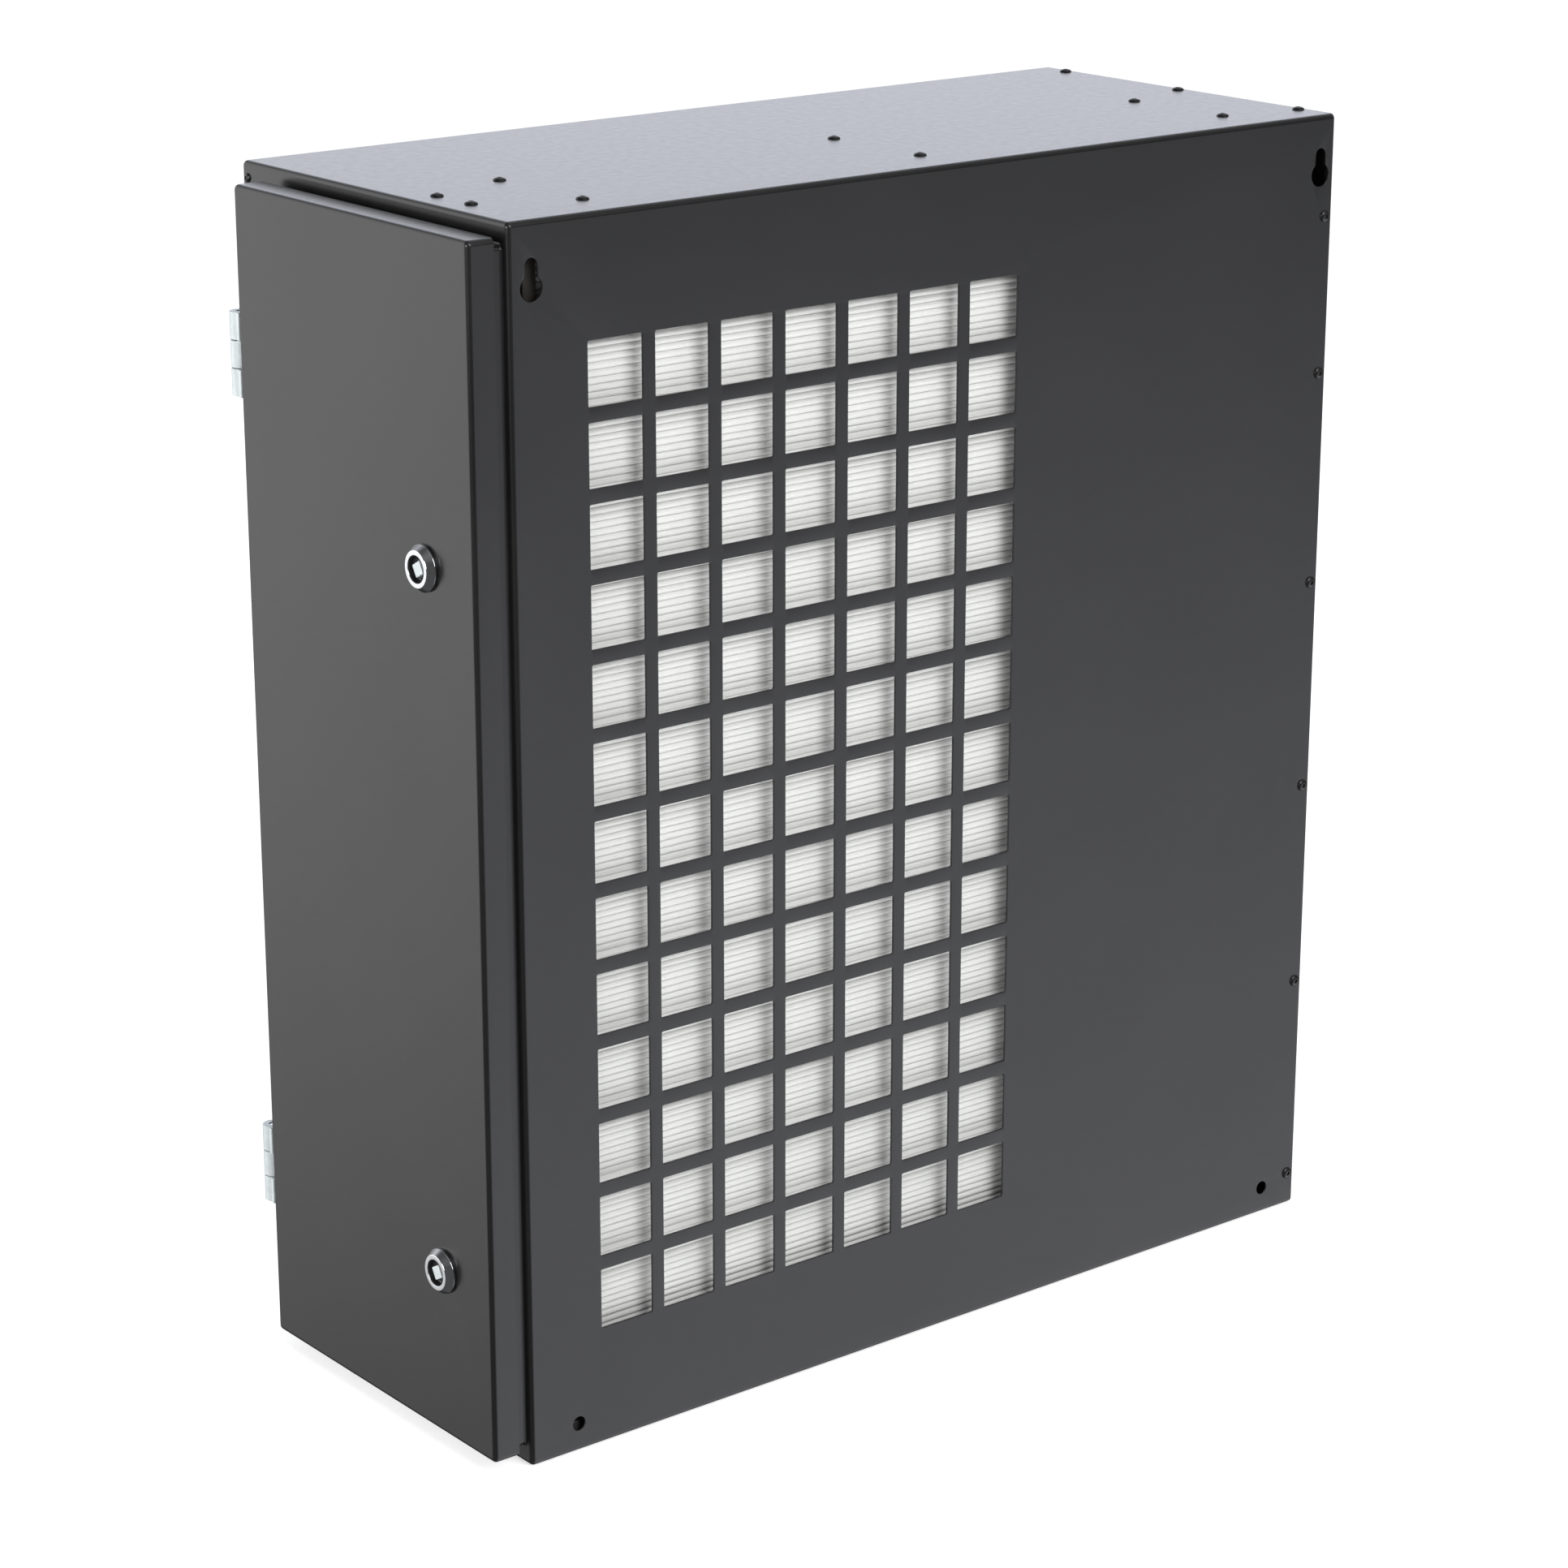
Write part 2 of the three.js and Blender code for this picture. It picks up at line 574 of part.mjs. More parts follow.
// The rocker is drawn about its pivot and stands tilted to the off side at rest.
function powerRocker() {
  const { width, length, pivot, tilt } = ROCKER;
  const half = length / 2;
  const outline = [
    [-4, -3], [3, -half], [5, -half], [3.4, 0], [5, half], [3, half], [-4, 3],
  ];
  const geometry = extrude(polygon(outline), 'z', [-width / 2, width / 2]);
  geometry.rotateX(Math.PI / 2).rotateY(-tilt);
  return geometry.translate(END_FACE + GAP - pivot, CONTROLS.y, CONTROLS.rockerZ);
}

function speedPotentiometer() {
  const { y, knobZ: z } = CONTROLS;
  const inside = END_FACE - SHEET - GAP;
  const body = rod(POTENTIOMETER.body, 'x', [inside - 12, inside], y, z, 16);
  const bush = rod(POTENTIOMETER.bush, 'x', [inside - 5, END_FACE + 3], y, z, 12);
  const nut = rod(POTENTIOMETER.nut, 'x', [END_FACE + GAP, END_FACE + 2.3], y, z, 6);
  const hole = bore(POTENTIOMETER.bore, 'x', [inside - 6, END_FACE + 5], y, z, 12);
  return cut(join(body, bush, nut), hole);
}

// The knob's pointer starts at the lower left, where the fan runs slowest.
function speedKnob() {
  const base = END_FACE + 3.5;
  const top = base + KNOB.height;
  const edge = KNOB.radius - 1.5;
  const profile = [[0, base], [KNOB.radius, base], [KNOB.radius, top - 2], [edge, top], [0, top]];
  const body = turn(profile, 'x', 0, 0, 24);
  const spindle = rod(POTENTIOMETER.spindle, 'x', [END_FACE - 5, base + 1], 0, 0, 12);
  const pointer = block([top - 1, top + 1], [-1, 1], [0, KNOB.radius - 2]);
  return join(body, spindle, pointer).rotateX(KNOB.start).translate(0, CONTROLS.y, CONTROLS.knobZ);
}

function speedController() {
  const { x, z, depth, fin, finPitch, finDepth } = SPEED_BOX;
  const grown = ([low, high], amount) => [low - amount, high + amount];
  const front = PARTITION_Y - depth;
  const base = block(grown(x, 10), [PARTITION_Y - 3 - GAP, PARTITION_Y - GAP], grown(z, 20));
  const body = block(x, [front, PARTITION_Y - 2], z);
  const fins = [];
  for (let at = z[0] + 10; at < z[1] - 5; at += finPitch) {
    fins.push(block(grown(x, -5), [front + 2 - finDepth, front + 2], [at, at + fin]));
  }
  return join(base, body, ...fins);
}

// ---- Door ----
function doorShell() {
  const locks = LOCK.z.map((z) => bore(LOCK.body + GAP, 'x', [DOOR.face - 5, DOOR.face + 5], LOCK.y, z));
  return cut(tray(DOOR.face, DOOR.rim, DOOR.y, DOOR.z), ...locks);
}

// The foam ring inside the door that the frame's lip presses on.
function doorGasket() {
  const x = [DOOR.face + SHEET + GAP, DOOR_OPENING.lip - GAP];
  const y = [DOOR.y[0] + SHEET + 1, DOOR_OPENING.y[1] + 4];
  const z = [DOOR.z[0] + SHEET + 1, DOOR.z[1] - SHEET - 1];
  const hole = block([x[0] - 1, x[1] + 1], [y[0] + 8, y[1] - 9], [z[0] + 12, z[1] - 12]);
  return cut(block(x, y, z), hole);
}

// ---- Hinges ----
function knuckle(z, from, to) {
  return rod(HINGE.radius, 'z', [z + from, z + to], HINGE.x, HINGE.y, 16);
}

function hingeBore(z) {
  return bore(HINGE.bore, 'z', [z - HINGE.height, z + HINGE.height], HINGE.x, HINGE.y, 12);
}

function hingeCabinetLeaf(z) {
  const half = HINGE.height / 2;
  const middle = KNUCKLE - GAP;
  const plate = block([-GAP - HINGE.leaf, -GAP], [HINGE.y - 2, DEPTH - BEND], [z - half, z + half]);
  const arm = block([HINGE.x, -GAP - 1], [HINGE.y, HINGE.y + HINGE.radius], [z - middle, z + middle]);
  return cut(join(plate, arm, knuckle(z, -middle, middle)), hingeBore(z));
}

function hingeDoorLeaf(z) {
  const half = HINGE.height / 2;
  const middle = KNUCKLE + GAP;
  const seat = DOOR.y[1] + GAP;
  const notchX = [DOOR.face - 1, HINGE.x + HINGE.radius + 0.8];
  const plate = block([DOOR.face + 0.5, DOOR.rim - 1], [seat, seat + HINGE.leaf], [z - half, z + half]);
  const notch = block(notchX, [seat - 1, seat + HINGE.leaf + 2], [z - middle, z + middle]);
  const knuckles = [knuckle(z, -half, -middle), knuckle(z, middle, half)];
  return cut(join(cut(plate, notch), ...knuckles), hingeBore(z));
}

function hingePin(z) {
  const half = HINGE.height / 2 - 0.5;
  return rod(HINGE.pin, 'z', [z - half, z + half], HINGE.x, HINGE.y, 12);
}

// ---- Locks ----
function lockHousing(z) {
  const base = DOOR.face - GAP;
  const recess = LOCK_FACE + 3.5;
  const inner = LOCK.plug + GAP;
  const mouth = LOCK.bezel - 5.9;
  const rim = LOCK.bezel - 3;
  const profile = [
    [inner, recess], [mouth, recess], [mouth, LOCK_FACE], [rim, LOCK_FACE],
    [rim + 1.2, LOCK_FACE + 1.2], [LOCK.bezel, base], [LOCK.body, base], [LOCK.body, LOCK_REAR],
    [inner, LOCK_REAR], [inner, recess],
  ];
  return turn(profile, 'x', LOCK.y, z, 24);
}

function lockNut(z) {
  const inside = DOOR.face + SHEET + GAP;
  const hexagon = rod(LOCK.bezel, 'x', [inside, inside + 5], LOCK.y, z, 6);
  return cut(hexagon, bore(LOCK.body + GAP, 'x', [inside - 1, inside + 6], LOCK.y, z, 24));
}

function squareBar(x, size, z) {
  const half = size / 2;
  return block(x, [LOCK.y - half, LOCK.y + half], [z - half, z + half]);
}

// The turning plug: a square stud for the key in front and a square seat for the cam behind.
function lockBarrel(z) {
  const plug = rod(LOCK.plug, 'x', [LOCK_FACE + 3.8, LOCK_REAR + 2], LOCK.y, z, 20);
  const stud = squareBar([LOCK_FACE + 1.2, LOCK_FACE + 4.5], LOCK.square, z);
  return join(plug, stud, squareBar([LOCK_REAR + 1, CAM.x[1] + 1], LOCK.seat, z));
}

// The cam hangs down at rest, which is unlocked, and turns to reach behind the door frame.
function lockCam(z) {
  const quarter = Math.PI / 2;
  const half = CAM.width / 2;
  const arm = new THREE.Shape();
  arm.absarc(LOCK.y, z, CAM.eye, 0, 2 * quarter);
  arm.lineTo(LOCK.y - half, z - CAM.reach);
  arm.lineTo(LOCK.y + half, z - CAM.reach);
  return cut(extrude(arm, 'x', CAM.x, 3), squareBar([0, 10], LOCK.seat + 2 * GAP, z));
}

// ---- Assembly ----
const group = new THREE.Group();

function add(name, geometry, finish) {
  const mesh = new THREE.Mesh(closed(geometry), FINISH[finish]);
  mesh.name = name;
  group.add(mesh);
}

add('grille_panel', grillePanel(), 'powderCoat');
add('top_panel', topPanel(), 'powderCoat');
add('bottom_panel', block(PANEL_X, FLAT_Y, [0, SHEET]), 'powderCoat');
add('back_panel', rolledWall(DEPTH, -1, PANEL_X), 'powderCoat');
add('end_panel', endPanel(), 'powderCoat');
add('door_frame', doorFrame(), 'powderCoat');
add('door_frame_bracket', doorFrameBracket(), 'powderCoat');

add('upper_front_rail', upperRail(RAIL.y[0]), 'powderCoat');
add('upper_rear_rail', upperRail(RAIL.y[1]), 'powderCoat');
add('filter_tray', filterTray(), 'galvanised');
add('grille_seal', grilleSeal(), 'foam');
add('particle_filter_frame', particleFilterFrame(), 'filterFrame');
add('particle_filter_media', particleFilterMedia(), 'filterPaper');
add('carbon_cassette', carbonCassette(), 'galvanised');
add('carbon_bed', insideCassette(GAP), 'carbon');
add('prefilter_pad', prefilterPad(), 'fleece');

add('bay_divider', bayDivider(), 'galvanised');
add('partition_plate', partitionPlate(), 'galvanised');
add('fan_bulkhead', fanBulkhead(), 'galvanised');

add('inlet_ring', inletRing(), 'galvanised');
add('impeller', impeller(), 'plastic');
add('fan_shaft', rod(FAN.shaft, 'x', [MOTOR.x[0] + 5, FAN.x + 20], FAN.y, FAN.z, 16), 'chrome');
add('fan_motor', fanMotor(), 'darkSteel');
add('motor_bracket', motorBracket(), 'galvanised');

for (const [level, z] of Object.entries(SPIGOT.z)) {
  add(`${level}_inlet_spigot`, inletSpigot(z), 'galvanised');
  add(`${level}_spigot_flange`, spigotFlange(z), 'galvanised');
}
add('mains_inlet', mainsInlet(), 'plastic');
add('rocker_housing', rockerHousing(), 'plastic');
add('power_rocker', powerRocker(), 'plastic');
add('speed_potentiometer', speedPotentiometer(), 'zincCast');
add('speed_knob', speedKnob(), 'plastic');
add('fan_speed_controller', speedController(), 'darkSteel');

FRONT_RIVET_Z.forEach((z, i) => {
  add(`end_rivet_front_${i + 1}`, rivetGeometry('y', 0, -1, WIDTH - END_RIVET_INSET, z), 'powderCoat');
});
END_RIVET_Y.forEach((y, i) => {
  add(`end_rivet_top_${i + 1}`, rivetGeometry('z', HEIGHT, 1, WIDTH - END_RIVET_INSET, y), 'powderCoat');
});

add('door_shell', doorShell(), 'powderCoat');
add('door_gasket', doorGasket(), 'foam');
['upper', 'lower'].forEach((level, i) => {
  add(`${level}_hinge_cabinet_leaf`, hingeCabinetLeaf(HINGE.z[i]), 'zincCast');
  add(`${level}_hinge_door_leaf`, hingeDoorLeaf(HINGE.z[i]), 'zincCast');
  add(`${level}_hinge_pin`, hingePin(HINGE.z[i]), 'chrome');
  add(`${level}_lock_housing`, lockHousing(LOCK.z[i]), 'chrome');
  add(`${level}_lock_nut`, lockNut(LOCK.z[i]), 'zincCast');
  add(`${level}_lock_barrel`, lockBarrel(LOCK.z[i]), 'zincCast');
  add(`${level}_lock_cam`, lockCam(LOCK.z[i]), 'zincCast');
});

// The bounding box runs from the lock faces to the spigots' tips, and from the front rivets' heads
// to the back.
const rivetRise = GAP + RIVET.rise;
group.position.set(-(LOCK_FACE + WIDTH + SPIGOT.reach) / 2, -(DEPTH - rivetRise) / 2, 0);
group.updateMatrixWorld(true);

export default group;
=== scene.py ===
import json
import math

import bmesh
import bpy
from mathutils import Matrix, Vector

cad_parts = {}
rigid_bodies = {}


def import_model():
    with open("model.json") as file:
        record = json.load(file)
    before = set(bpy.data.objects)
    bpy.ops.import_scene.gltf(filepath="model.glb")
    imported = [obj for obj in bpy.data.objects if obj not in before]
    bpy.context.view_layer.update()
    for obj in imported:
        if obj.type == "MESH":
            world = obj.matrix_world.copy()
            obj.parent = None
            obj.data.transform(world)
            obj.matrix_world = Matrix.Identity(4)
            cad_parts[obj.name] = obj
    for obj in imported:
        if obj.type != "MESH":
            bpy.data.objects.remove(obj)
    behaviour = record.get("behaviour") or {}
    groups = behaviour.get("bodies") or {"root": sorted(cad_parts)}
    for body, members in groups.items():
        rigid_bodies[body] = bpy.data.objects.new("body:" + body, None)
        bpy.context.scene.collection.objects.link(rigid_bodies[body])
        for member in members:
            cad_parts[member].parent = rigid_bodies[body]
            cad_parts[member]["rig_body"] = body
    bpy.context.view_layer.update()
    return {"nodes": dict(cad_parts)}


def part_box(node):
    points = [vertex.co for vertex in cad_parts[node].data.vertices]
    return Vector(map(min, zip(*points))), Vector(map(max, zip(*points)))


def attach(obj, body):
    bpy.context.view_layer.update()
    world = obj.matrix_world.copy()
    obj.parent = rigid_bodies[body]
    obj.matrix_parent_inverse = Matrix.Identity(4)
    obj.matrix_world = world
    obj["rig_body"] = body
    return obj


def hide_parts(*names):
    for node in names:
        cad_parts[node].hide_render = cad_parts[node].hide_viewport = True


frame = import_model()

# ---- The drawing frame ----
# Pieces are drawn in millimetres: X from the door end of the cabinet, Y from the grille face to
# the back and Z up from the underside. ORIGIN is that frame's zero in the row frame, in metres.
WIDTH, DEPTH, HEIGHT = 640, 275, 750
MM = 0.001
ORIGIN = Vector((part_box("grille_panel")[1].x - WIDTH * MM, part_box("grille_panel")[0].y, 0))

SHEET = 1.5
BEND = 3
GAP = 0.3
EDGE = 0.25


def drawn(node):
    """A CAD node's box in the drawing frame, as ((x0, x1), (y0, y1), (z0, z1)) in millimetres."""
    low, high = ((corner - ORIGIN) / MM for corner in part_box(node))
    return tuple(zip(low, high))


def middle(span):
    return sum(span) / 2


def grown(span, amount):
    return span[0] - amount, span[1] + amount


def about(centre, half):
    return centre - half, centre + half


DOOR_X, DOOR_Y, DOOR_Z = drawn("door_shell")
DOORWAY = {"y": (6.5, 228.5), "z": (14.5, 735.5), "lip": drawn("door_frame")[0][0]}
GRILLE = {"columns": 7, "rows": 13, "hole": 38, "pitch": 47, "left": 53, "top": 678}
KEYHOLES = {"x": (15.5, WIDTH - 11), "z": 712, "radius": 7.5, "slot": 8.5, "top": 729}
FIXING_HOLES = {"x": (35, WIDTH - 29.5), "z": 18.3, "radius": 4.5}
RIVET = {"head": 4, "rise": 1.6, "shank": 2, "hole": 2.3, "length": 6}
CORNER_STUD = (268.5, 740)
END_RIVET_X = WIDTH - 5.5
FRONT_RIVET_Z = [middle(drawn(f"end_rivet_front_{i + 1}")[2]) for i in range(6)]
TOP_RIVET_Y = [middle(drawn(f"end_rivet_top_{i + 1}")[1]) for i in range(3)]
RAIL_RIVET_X = (77.5, 326, 577)
RAIL_Y = {side: middle(drawn(f"upper_{side}_rail")[1]) for side in ("front", "rear")}
BRACKET_RIVETS = ((19, 62), (19, 96))
LOCKS = {level: middle(drawn(f"{level}_lock_housing")[2]) for level in ("upper", "lower")}
LOCK_Y = middle(drawn("upper_lock_housing")[1])
HINGES = {level: middle(drawn(f"{level}_hinge_pin")[2]) for level in ("upper", "lower")}
HINGE_X = middle(drawn("upper_hinge_pin")[0])
HINGE_Y = middle(drawn("upper_hinge_pin")[1])
SPIGOTS = {level: middle(drawn(f"{level}_inlet_spigot")[2]) for level in ("upper", "lower")}
SPIGOT_Y = middle(drawn("upper_inlet_spigot")[1])
END_FACE = drawn("end_panel")[0][1]
SEAT = END_FACE + GAP
CONTROL_Y = 62
SOCKET_Z, ROCKER_Z, KNOB_Z = 62, 118, 172
FAN_Y, FAN_Z, FAN_INLET = 198, 400, 36
# Radii and half sizes of what the end and the door carry. A pair is a (Y, Z) pair of half sizes, and
# tilt and at are angles in degrees.
SPIGOT = {"hole": 36.5, "bore": 36, "outside": 37.5, "bead": 38.5, "flange": 50, "screws": 44}
SOCKET = {"flange": (11.5, 25), "shell": (10, 13.5), "recess": (8, 12), "screws": 20}
ROCKER = {"bezel": (11, 17), "shell": (9, 15), "well": (7, 13.5), "half": 12.5, "tilt": -10}
KNOB = {"radius": 11, "height": 14, "flutes": 16, "spindle": 2.8, "bush": 3.7, "can": 12, "at": 135}
LOCK = {
    "bezel": 14, "rim": 11, "mouth": 8.1, "bore": 6.3, "thread": 9.5, "hole": 9.8,
    "nut": 14, "plug": 6, "stud": 4, "tail": 3.5,
}


# ---- Materials ----
class Finish:
    """A procedural material, read in the object's own coordinates, so that its grain stays on it."""

    def __init__(self, name, **sockets):
        self.material = bpy.data.materials.new(name)
        self.material.use_nodes = True
        self.nodes = self.material.node_tree.nodes
        self.links = self.material.node_tree.links
        self.shader = self.nodes["Principled BSDF"]
        for socket, value in sockets.items():
            self.shader.inputs[socket.replace("_", " ")].default_value = value
        self.place = self.nodes.new("ShaderNodeTexCoord").outputs["Object"]
        self.height = None

    def stretched(self, x, y, z):
        mapping = self.nodes.new("ShaderNodeMapping")
        mapping.inputs["Scale"].default_value = (x, y, z)
        self.links.new(self.place, mapping.inputs["Vector"])
        return mapping.outputs["Vector"]

    def noise(self, scale, detail=2, roughness=0.5, place=None):
        node = self.nodes.new("ShaderNodeTexNoise")
        node.inputs["Scale"].default_value = scale
        node.inputs["Detail"].default_value = detail
        node.inputs["Roughness"].default_value = roughness
        self.links.new(place or self.place, node.inputs["Vector"])
        return node.outputs["Fac"]

    def cells(self, scale, output="Distance"):
        node = self.nodes.new("ShaderNodeTexVoronoi")
        node.inputs["Scale"].default_value = scale
        self.links.new(self.place, node.inputs["Vector"])
        return node.outputs[output]

    def ramp(self, source, low, high, start=0.3, end=0.7):
        node = self.nodes.new("ShaderNodeValToRGB")
        for element, place, colour in zip(node.color_ramp.elements, (start, end), (low, high)):
            element.position = place
            element.color = (*colour, 1)
        self.links.new(source, node.inputs["Fac"])
        return node.outputs["Color"]

    def scaled(self, source, low, high):
        node = self.nodes.new("ShaderNodeMapRange")
        node.inputs["From Min"].default_value = 0.3
        node.inputs["From Max"].default_value = 0.7
        node.inputs["To Min"].default_value = low
        node.inputs["To Max"].default_value = high
        self.links.new(source, node.inputs["Value"])
        return node.outputs["Result"]

    def drive(self, socket, source):
        self.links.new(source, self.shader.inputs[socket])

    def bump(self, source, strength, distance_mm):
        node = self.nodes.new("ShaderNodeBump")
        node.inputs["Strength"].default_value = strength
        node.inputs["Distance"].default_value = distance_mm * MM
        self.links.new(source, node.inputs["Height"])
        if self.height:
            self.links.new(self.height, node.inputs["Normal"])
        self.height = node.outputs["Normal"]
        self.links.new(self.height, self.shader.inputs["Normal"])


def powder_coat():
    finish = Finish("powder_coat", IOR=1.5)
    broad = finish.noise(9, 3)
    peel = finish.noise(620, 2)
    finish.drive("Base Color", finish.ramp(broad, (0.0085, 0.0085, 0.009), (0.0115, 0.0115, 0.012)))
    finish.drive("Roughness", finish.scaled(finish.noise(180, 3), 0.235, 0.265))
    finish.bump(peel, 0.1, 0.03)
    finish.bump(finish.noise(2200, 1), 0.12, 0.01)
    return finish.material


def galvanised_sheet():
    finish = Finish("galvanised_sheet", Metallic=0.9)
    spangle = finish.cells(85, "Color")
    grey = finish.ramp(finish.noise(14, 2), (0.42, 0.43, 0.45), (0.56, 0.57, 0.59))
    mix = finish.nodes.new("ShaderNodeMix")
    mix.data_type = "RGBA"
    mix.blend_type = "OVERLAY"
    mix.inputs["Factor"].default_value = 0.16
    finish.links.new(grey, mix.inputs["A"])
    finish.links.new(spangle, mix.inputs["B"])
    bare = finish.nodes.new("ShaderNodeHueSaturation")
    bare.inputs["Saturation"].default_value = 0.12
    finish.links.new(mix.outputs["Result"], bare.inputs["Color"])
    finish.drive("Base Color", bare.outputs["Color"])
    finish.drive("Roughness", finish.scaled(spangle, 0.32, 0.46))
    finish.bump(finish.noise(500, 2), 0.12, 0.05)
    return finish.material


def zinc_casting():
    finish = Finish("zinc_casting", Metallic=0.3)
    mottle = finish.noise(160, 4, 0.6)
    finish.drive("Base Color", finish.ramp(mottle, (0.6, 0.65, 0.66), (0.72, 0.77, 0.78)))
    finish.drive("Roughness", finish.scaled(finish.noise(420, 3), 0.36, 0.5))
    finish.bump(finish.noise(1500, 3), 0.3, 0.04)
    return finish.material


def chrome():
    finish = Finish("chrome", Metallic=1.0)
    haze = finish.noise(90, 3, place=finish.stretched(1, 14, 14))
    finish.drive("Base Color", finish.ramp(haze, (0.58, 0.59, 0.61), (0.66, 0.67, 0.69)))
    finish.drive("Roughness", finish.scaled(haze, 0.06, 0.11))
    finish.bump(finish.noise(1400, 2), 0.04, 0.02)
    return finish.material


def dark_steel():
    finish = Finish("dark_steel", Metallic=0.4)
    finish.drive("Base Color", finish.ramp(finish.noise(40, 4), (0.022, 0.023, 0.025), (0.04, 0.04, 0.043)))
    finish.drive("Roughness", finish.scaled(finish.noise(300, 3), 0.4, 0.55))
    finish.bump(finish.noise(900, 2), 0.3, 0.05)
    return finish.material


def filter_paper():
    finish = Finish("filter_paper", Roughness=0.95, Specular_IOR_Level=0.15)
    fibres = finish.noise(1, 5, 0.7, place=finish.stretched(420, 1500, 1500))
    finish.drive("Base Color", finish.ramp(fibres, (0.83, 0.835, 0.82), (0.9, 0.9, 0.89)))
    finish.bump(fibres, 0.35, 0.12)
    return finish.material


def filter_frame():
    finish = Finish("filter_frame")
    grain = finish.noise(1, 4, 0.6, place=finish.stretched(90, 700, 700))
    finish.drive("Base Color", finish.ramp(grain, (0.016, 0.013, 0.011), (0.032, 0.026, 0.021)))
    finish.drive("Roughness", finish.scaled(grain, 0.6, 0.75))
    finish.bump(grain, 0.2, 0.06)
    return finish.material


def carbon():
    finish = Finish("carbon", Roughness=0.8)
    granules = finish.cells(420)
    finish.drive("Base Color", finish.ramp(granules, (0.012, 0.012, 0.013), (0.05, 0.05, 0.052), 0.1, 0.9))
    finish.bump(granules, 0.9, 1.2)
    return finish.material


def fleece():
    finish = Finish("fleece", Roughness=1.0, Sheen_Weight=0.3)
    fibres = finish.noise(1, 6, 0.75, place=finish.stretched(500, 900, 500))
    clumps = finish.noise(70, 3)
    finish.drive("Base Color", finish.ramp(clumps, (0.66, 0.68, 0.67), (0.82, 0.84, 0.82)))
    finish.bump(fibres, 0.7, 0.5)
    return finish.material


def foam():
    finish = Finish("foam", Roughness=0.95)
    pores = finish.cells(1100)
    finish.drive("Base Color", finish.ramp(pores, (0.006, 0.006, 0.006), (0.022, 0.022, 0.023), 0.1, 0.7))
    finish.bump(pores, 0.7, 0.35)
    return finish.material


def plastic():
    finish = Finish("plastic")
    grain = finish.noise(1300, 2)
    finish.drive("Base Color", finish.ramp(finish.noise(30, 2), (0.014, 0.014, 0.015), (0.02, 0.02, 0.021)))
    finish.drive("Roughness", finish.scaled(finish.noise(200, 2), 0.4, 0.5))
    finish.bump(grain, 0.35, 0.05)
    return finish.material


MAKERS = (
    powder_coat, galvanised_sheet, zinc_casting, chrome, dark_steel, filter_paper,
    filter_frame, carbon, fleece, foam, plastic,
)
MATERIALS = {maker.__name__: maker() for maker in MAKERS}


# ---- Outlines ----
# An outline is a function of how far it's grown outward, in millimetres. It gives the points of
# one closed line, always the same number in the same order.
def arc(a, b, radius, start, end, steps):
    turns = (math.radians(start + (end - start) * step / steps) for step in range(steps + 1))
    return [(a + radius * math.cos(turn), b + radius * math.sin(turn)) for turn in turns]


def rounded(span_a, span_b, radius, steps=4):
    def outline(grow=0.0):
        (a0, a1), (b0, b1) = grown(span_a, grow), grown(span_b, grow)
        r = max(radius + grow, 0.05)
        corners = ((a1 - r, b1 - r), (a0 + r, b1 - r), (a0 + r, b0 + r), (a1 - r, b0 + r))
        points = []
        for quarter, (a, b) in enumerate(corners):
            points += arc(a, b, r, 90 * quarter, 90 * quarter + 90, steps)
        return points

    return outline


def circle(a, b, radius, steps=64, start=0):
    return lambda grow=0.0: arc(a, b, radius + grow, start, start + 360 - 360 / steps, steps - 1)


def keyhole(a):
    """A round hole with a round-topped slot above it."""
    def outline(grow=0.0):
        big, small = KEYHOLES["radius"] + grow, KEYHOLES["slot"] / 2 + grow
        neck = math.degrees(math.asin(small / big))
        bow = arc(a, KEYHOLES["z"], big, 90 + neck, 450 - neck, 28)
        return bow + arc(a, KEYHOLES["top"] - KEYHOLES["slot"] / 2, small, 0, 180, 12)

    return outline


def softened(points, radius, steps=3, closed=True):
    """The same line with its corners rounded."""
    result = []
    count = len(points)
    for i, corner in enumerate(points):
        if not closed and i in (0, count - 1):
            result.append(corner)
            continue
        here = Vector(corner)
        before, after = Vector(points[i - 1]) - here, Vector(points[(i + 1) % count]) - here
        reach = min(radius, before.length * 0.45, after.length * 0.45)
        start, end = here + before.normalized() * reach, here + after.normalized() * reach
        for step in range(steps + 1):
            t = step / steps
            point = start * (1 - t) ** 2 + here * 2 * t * (1 - t) + end * t * t
            result.append((point.x, point.y))
    return result


def polygon(points, radius=0.0, steps=3):
    """An outline through these corners, rounded by radius."""
    line = softened(points, radius, steps) if radius else list(points)
    count = len(line)
    area = sum(line[i - 1][0] * line[i][1] - line[i][0] * line[i - 1][1] for i in range(count))
    turn = 1 if area > 0 else -1

    def outline(grow=0.0):
        result = []
        for i, corner in enumerate(line):
            sides = (Vector(corner) - Vector(line[i - 1]), Vector(line[(i + 1) % count]) - Vector(corner))
            first, second = (Vector((side.y, -side.x)).normalized() * turn for side in sides)
            shift = (first + second) * grow / max(1 + first.dot(second), 0.3)
            result.append((corner[0] + shift.x, corner[1] + shift.y))
        return result

    return outline


# ---- Solids ----
X, Y, Z = 0, 1, 2


def at(axis, along, a, b):
    """A point from its place along an axis and its other two coordinates, in X, Y, Z order."""
    point = [a, b]
    point.insert(axis, along)
    return point


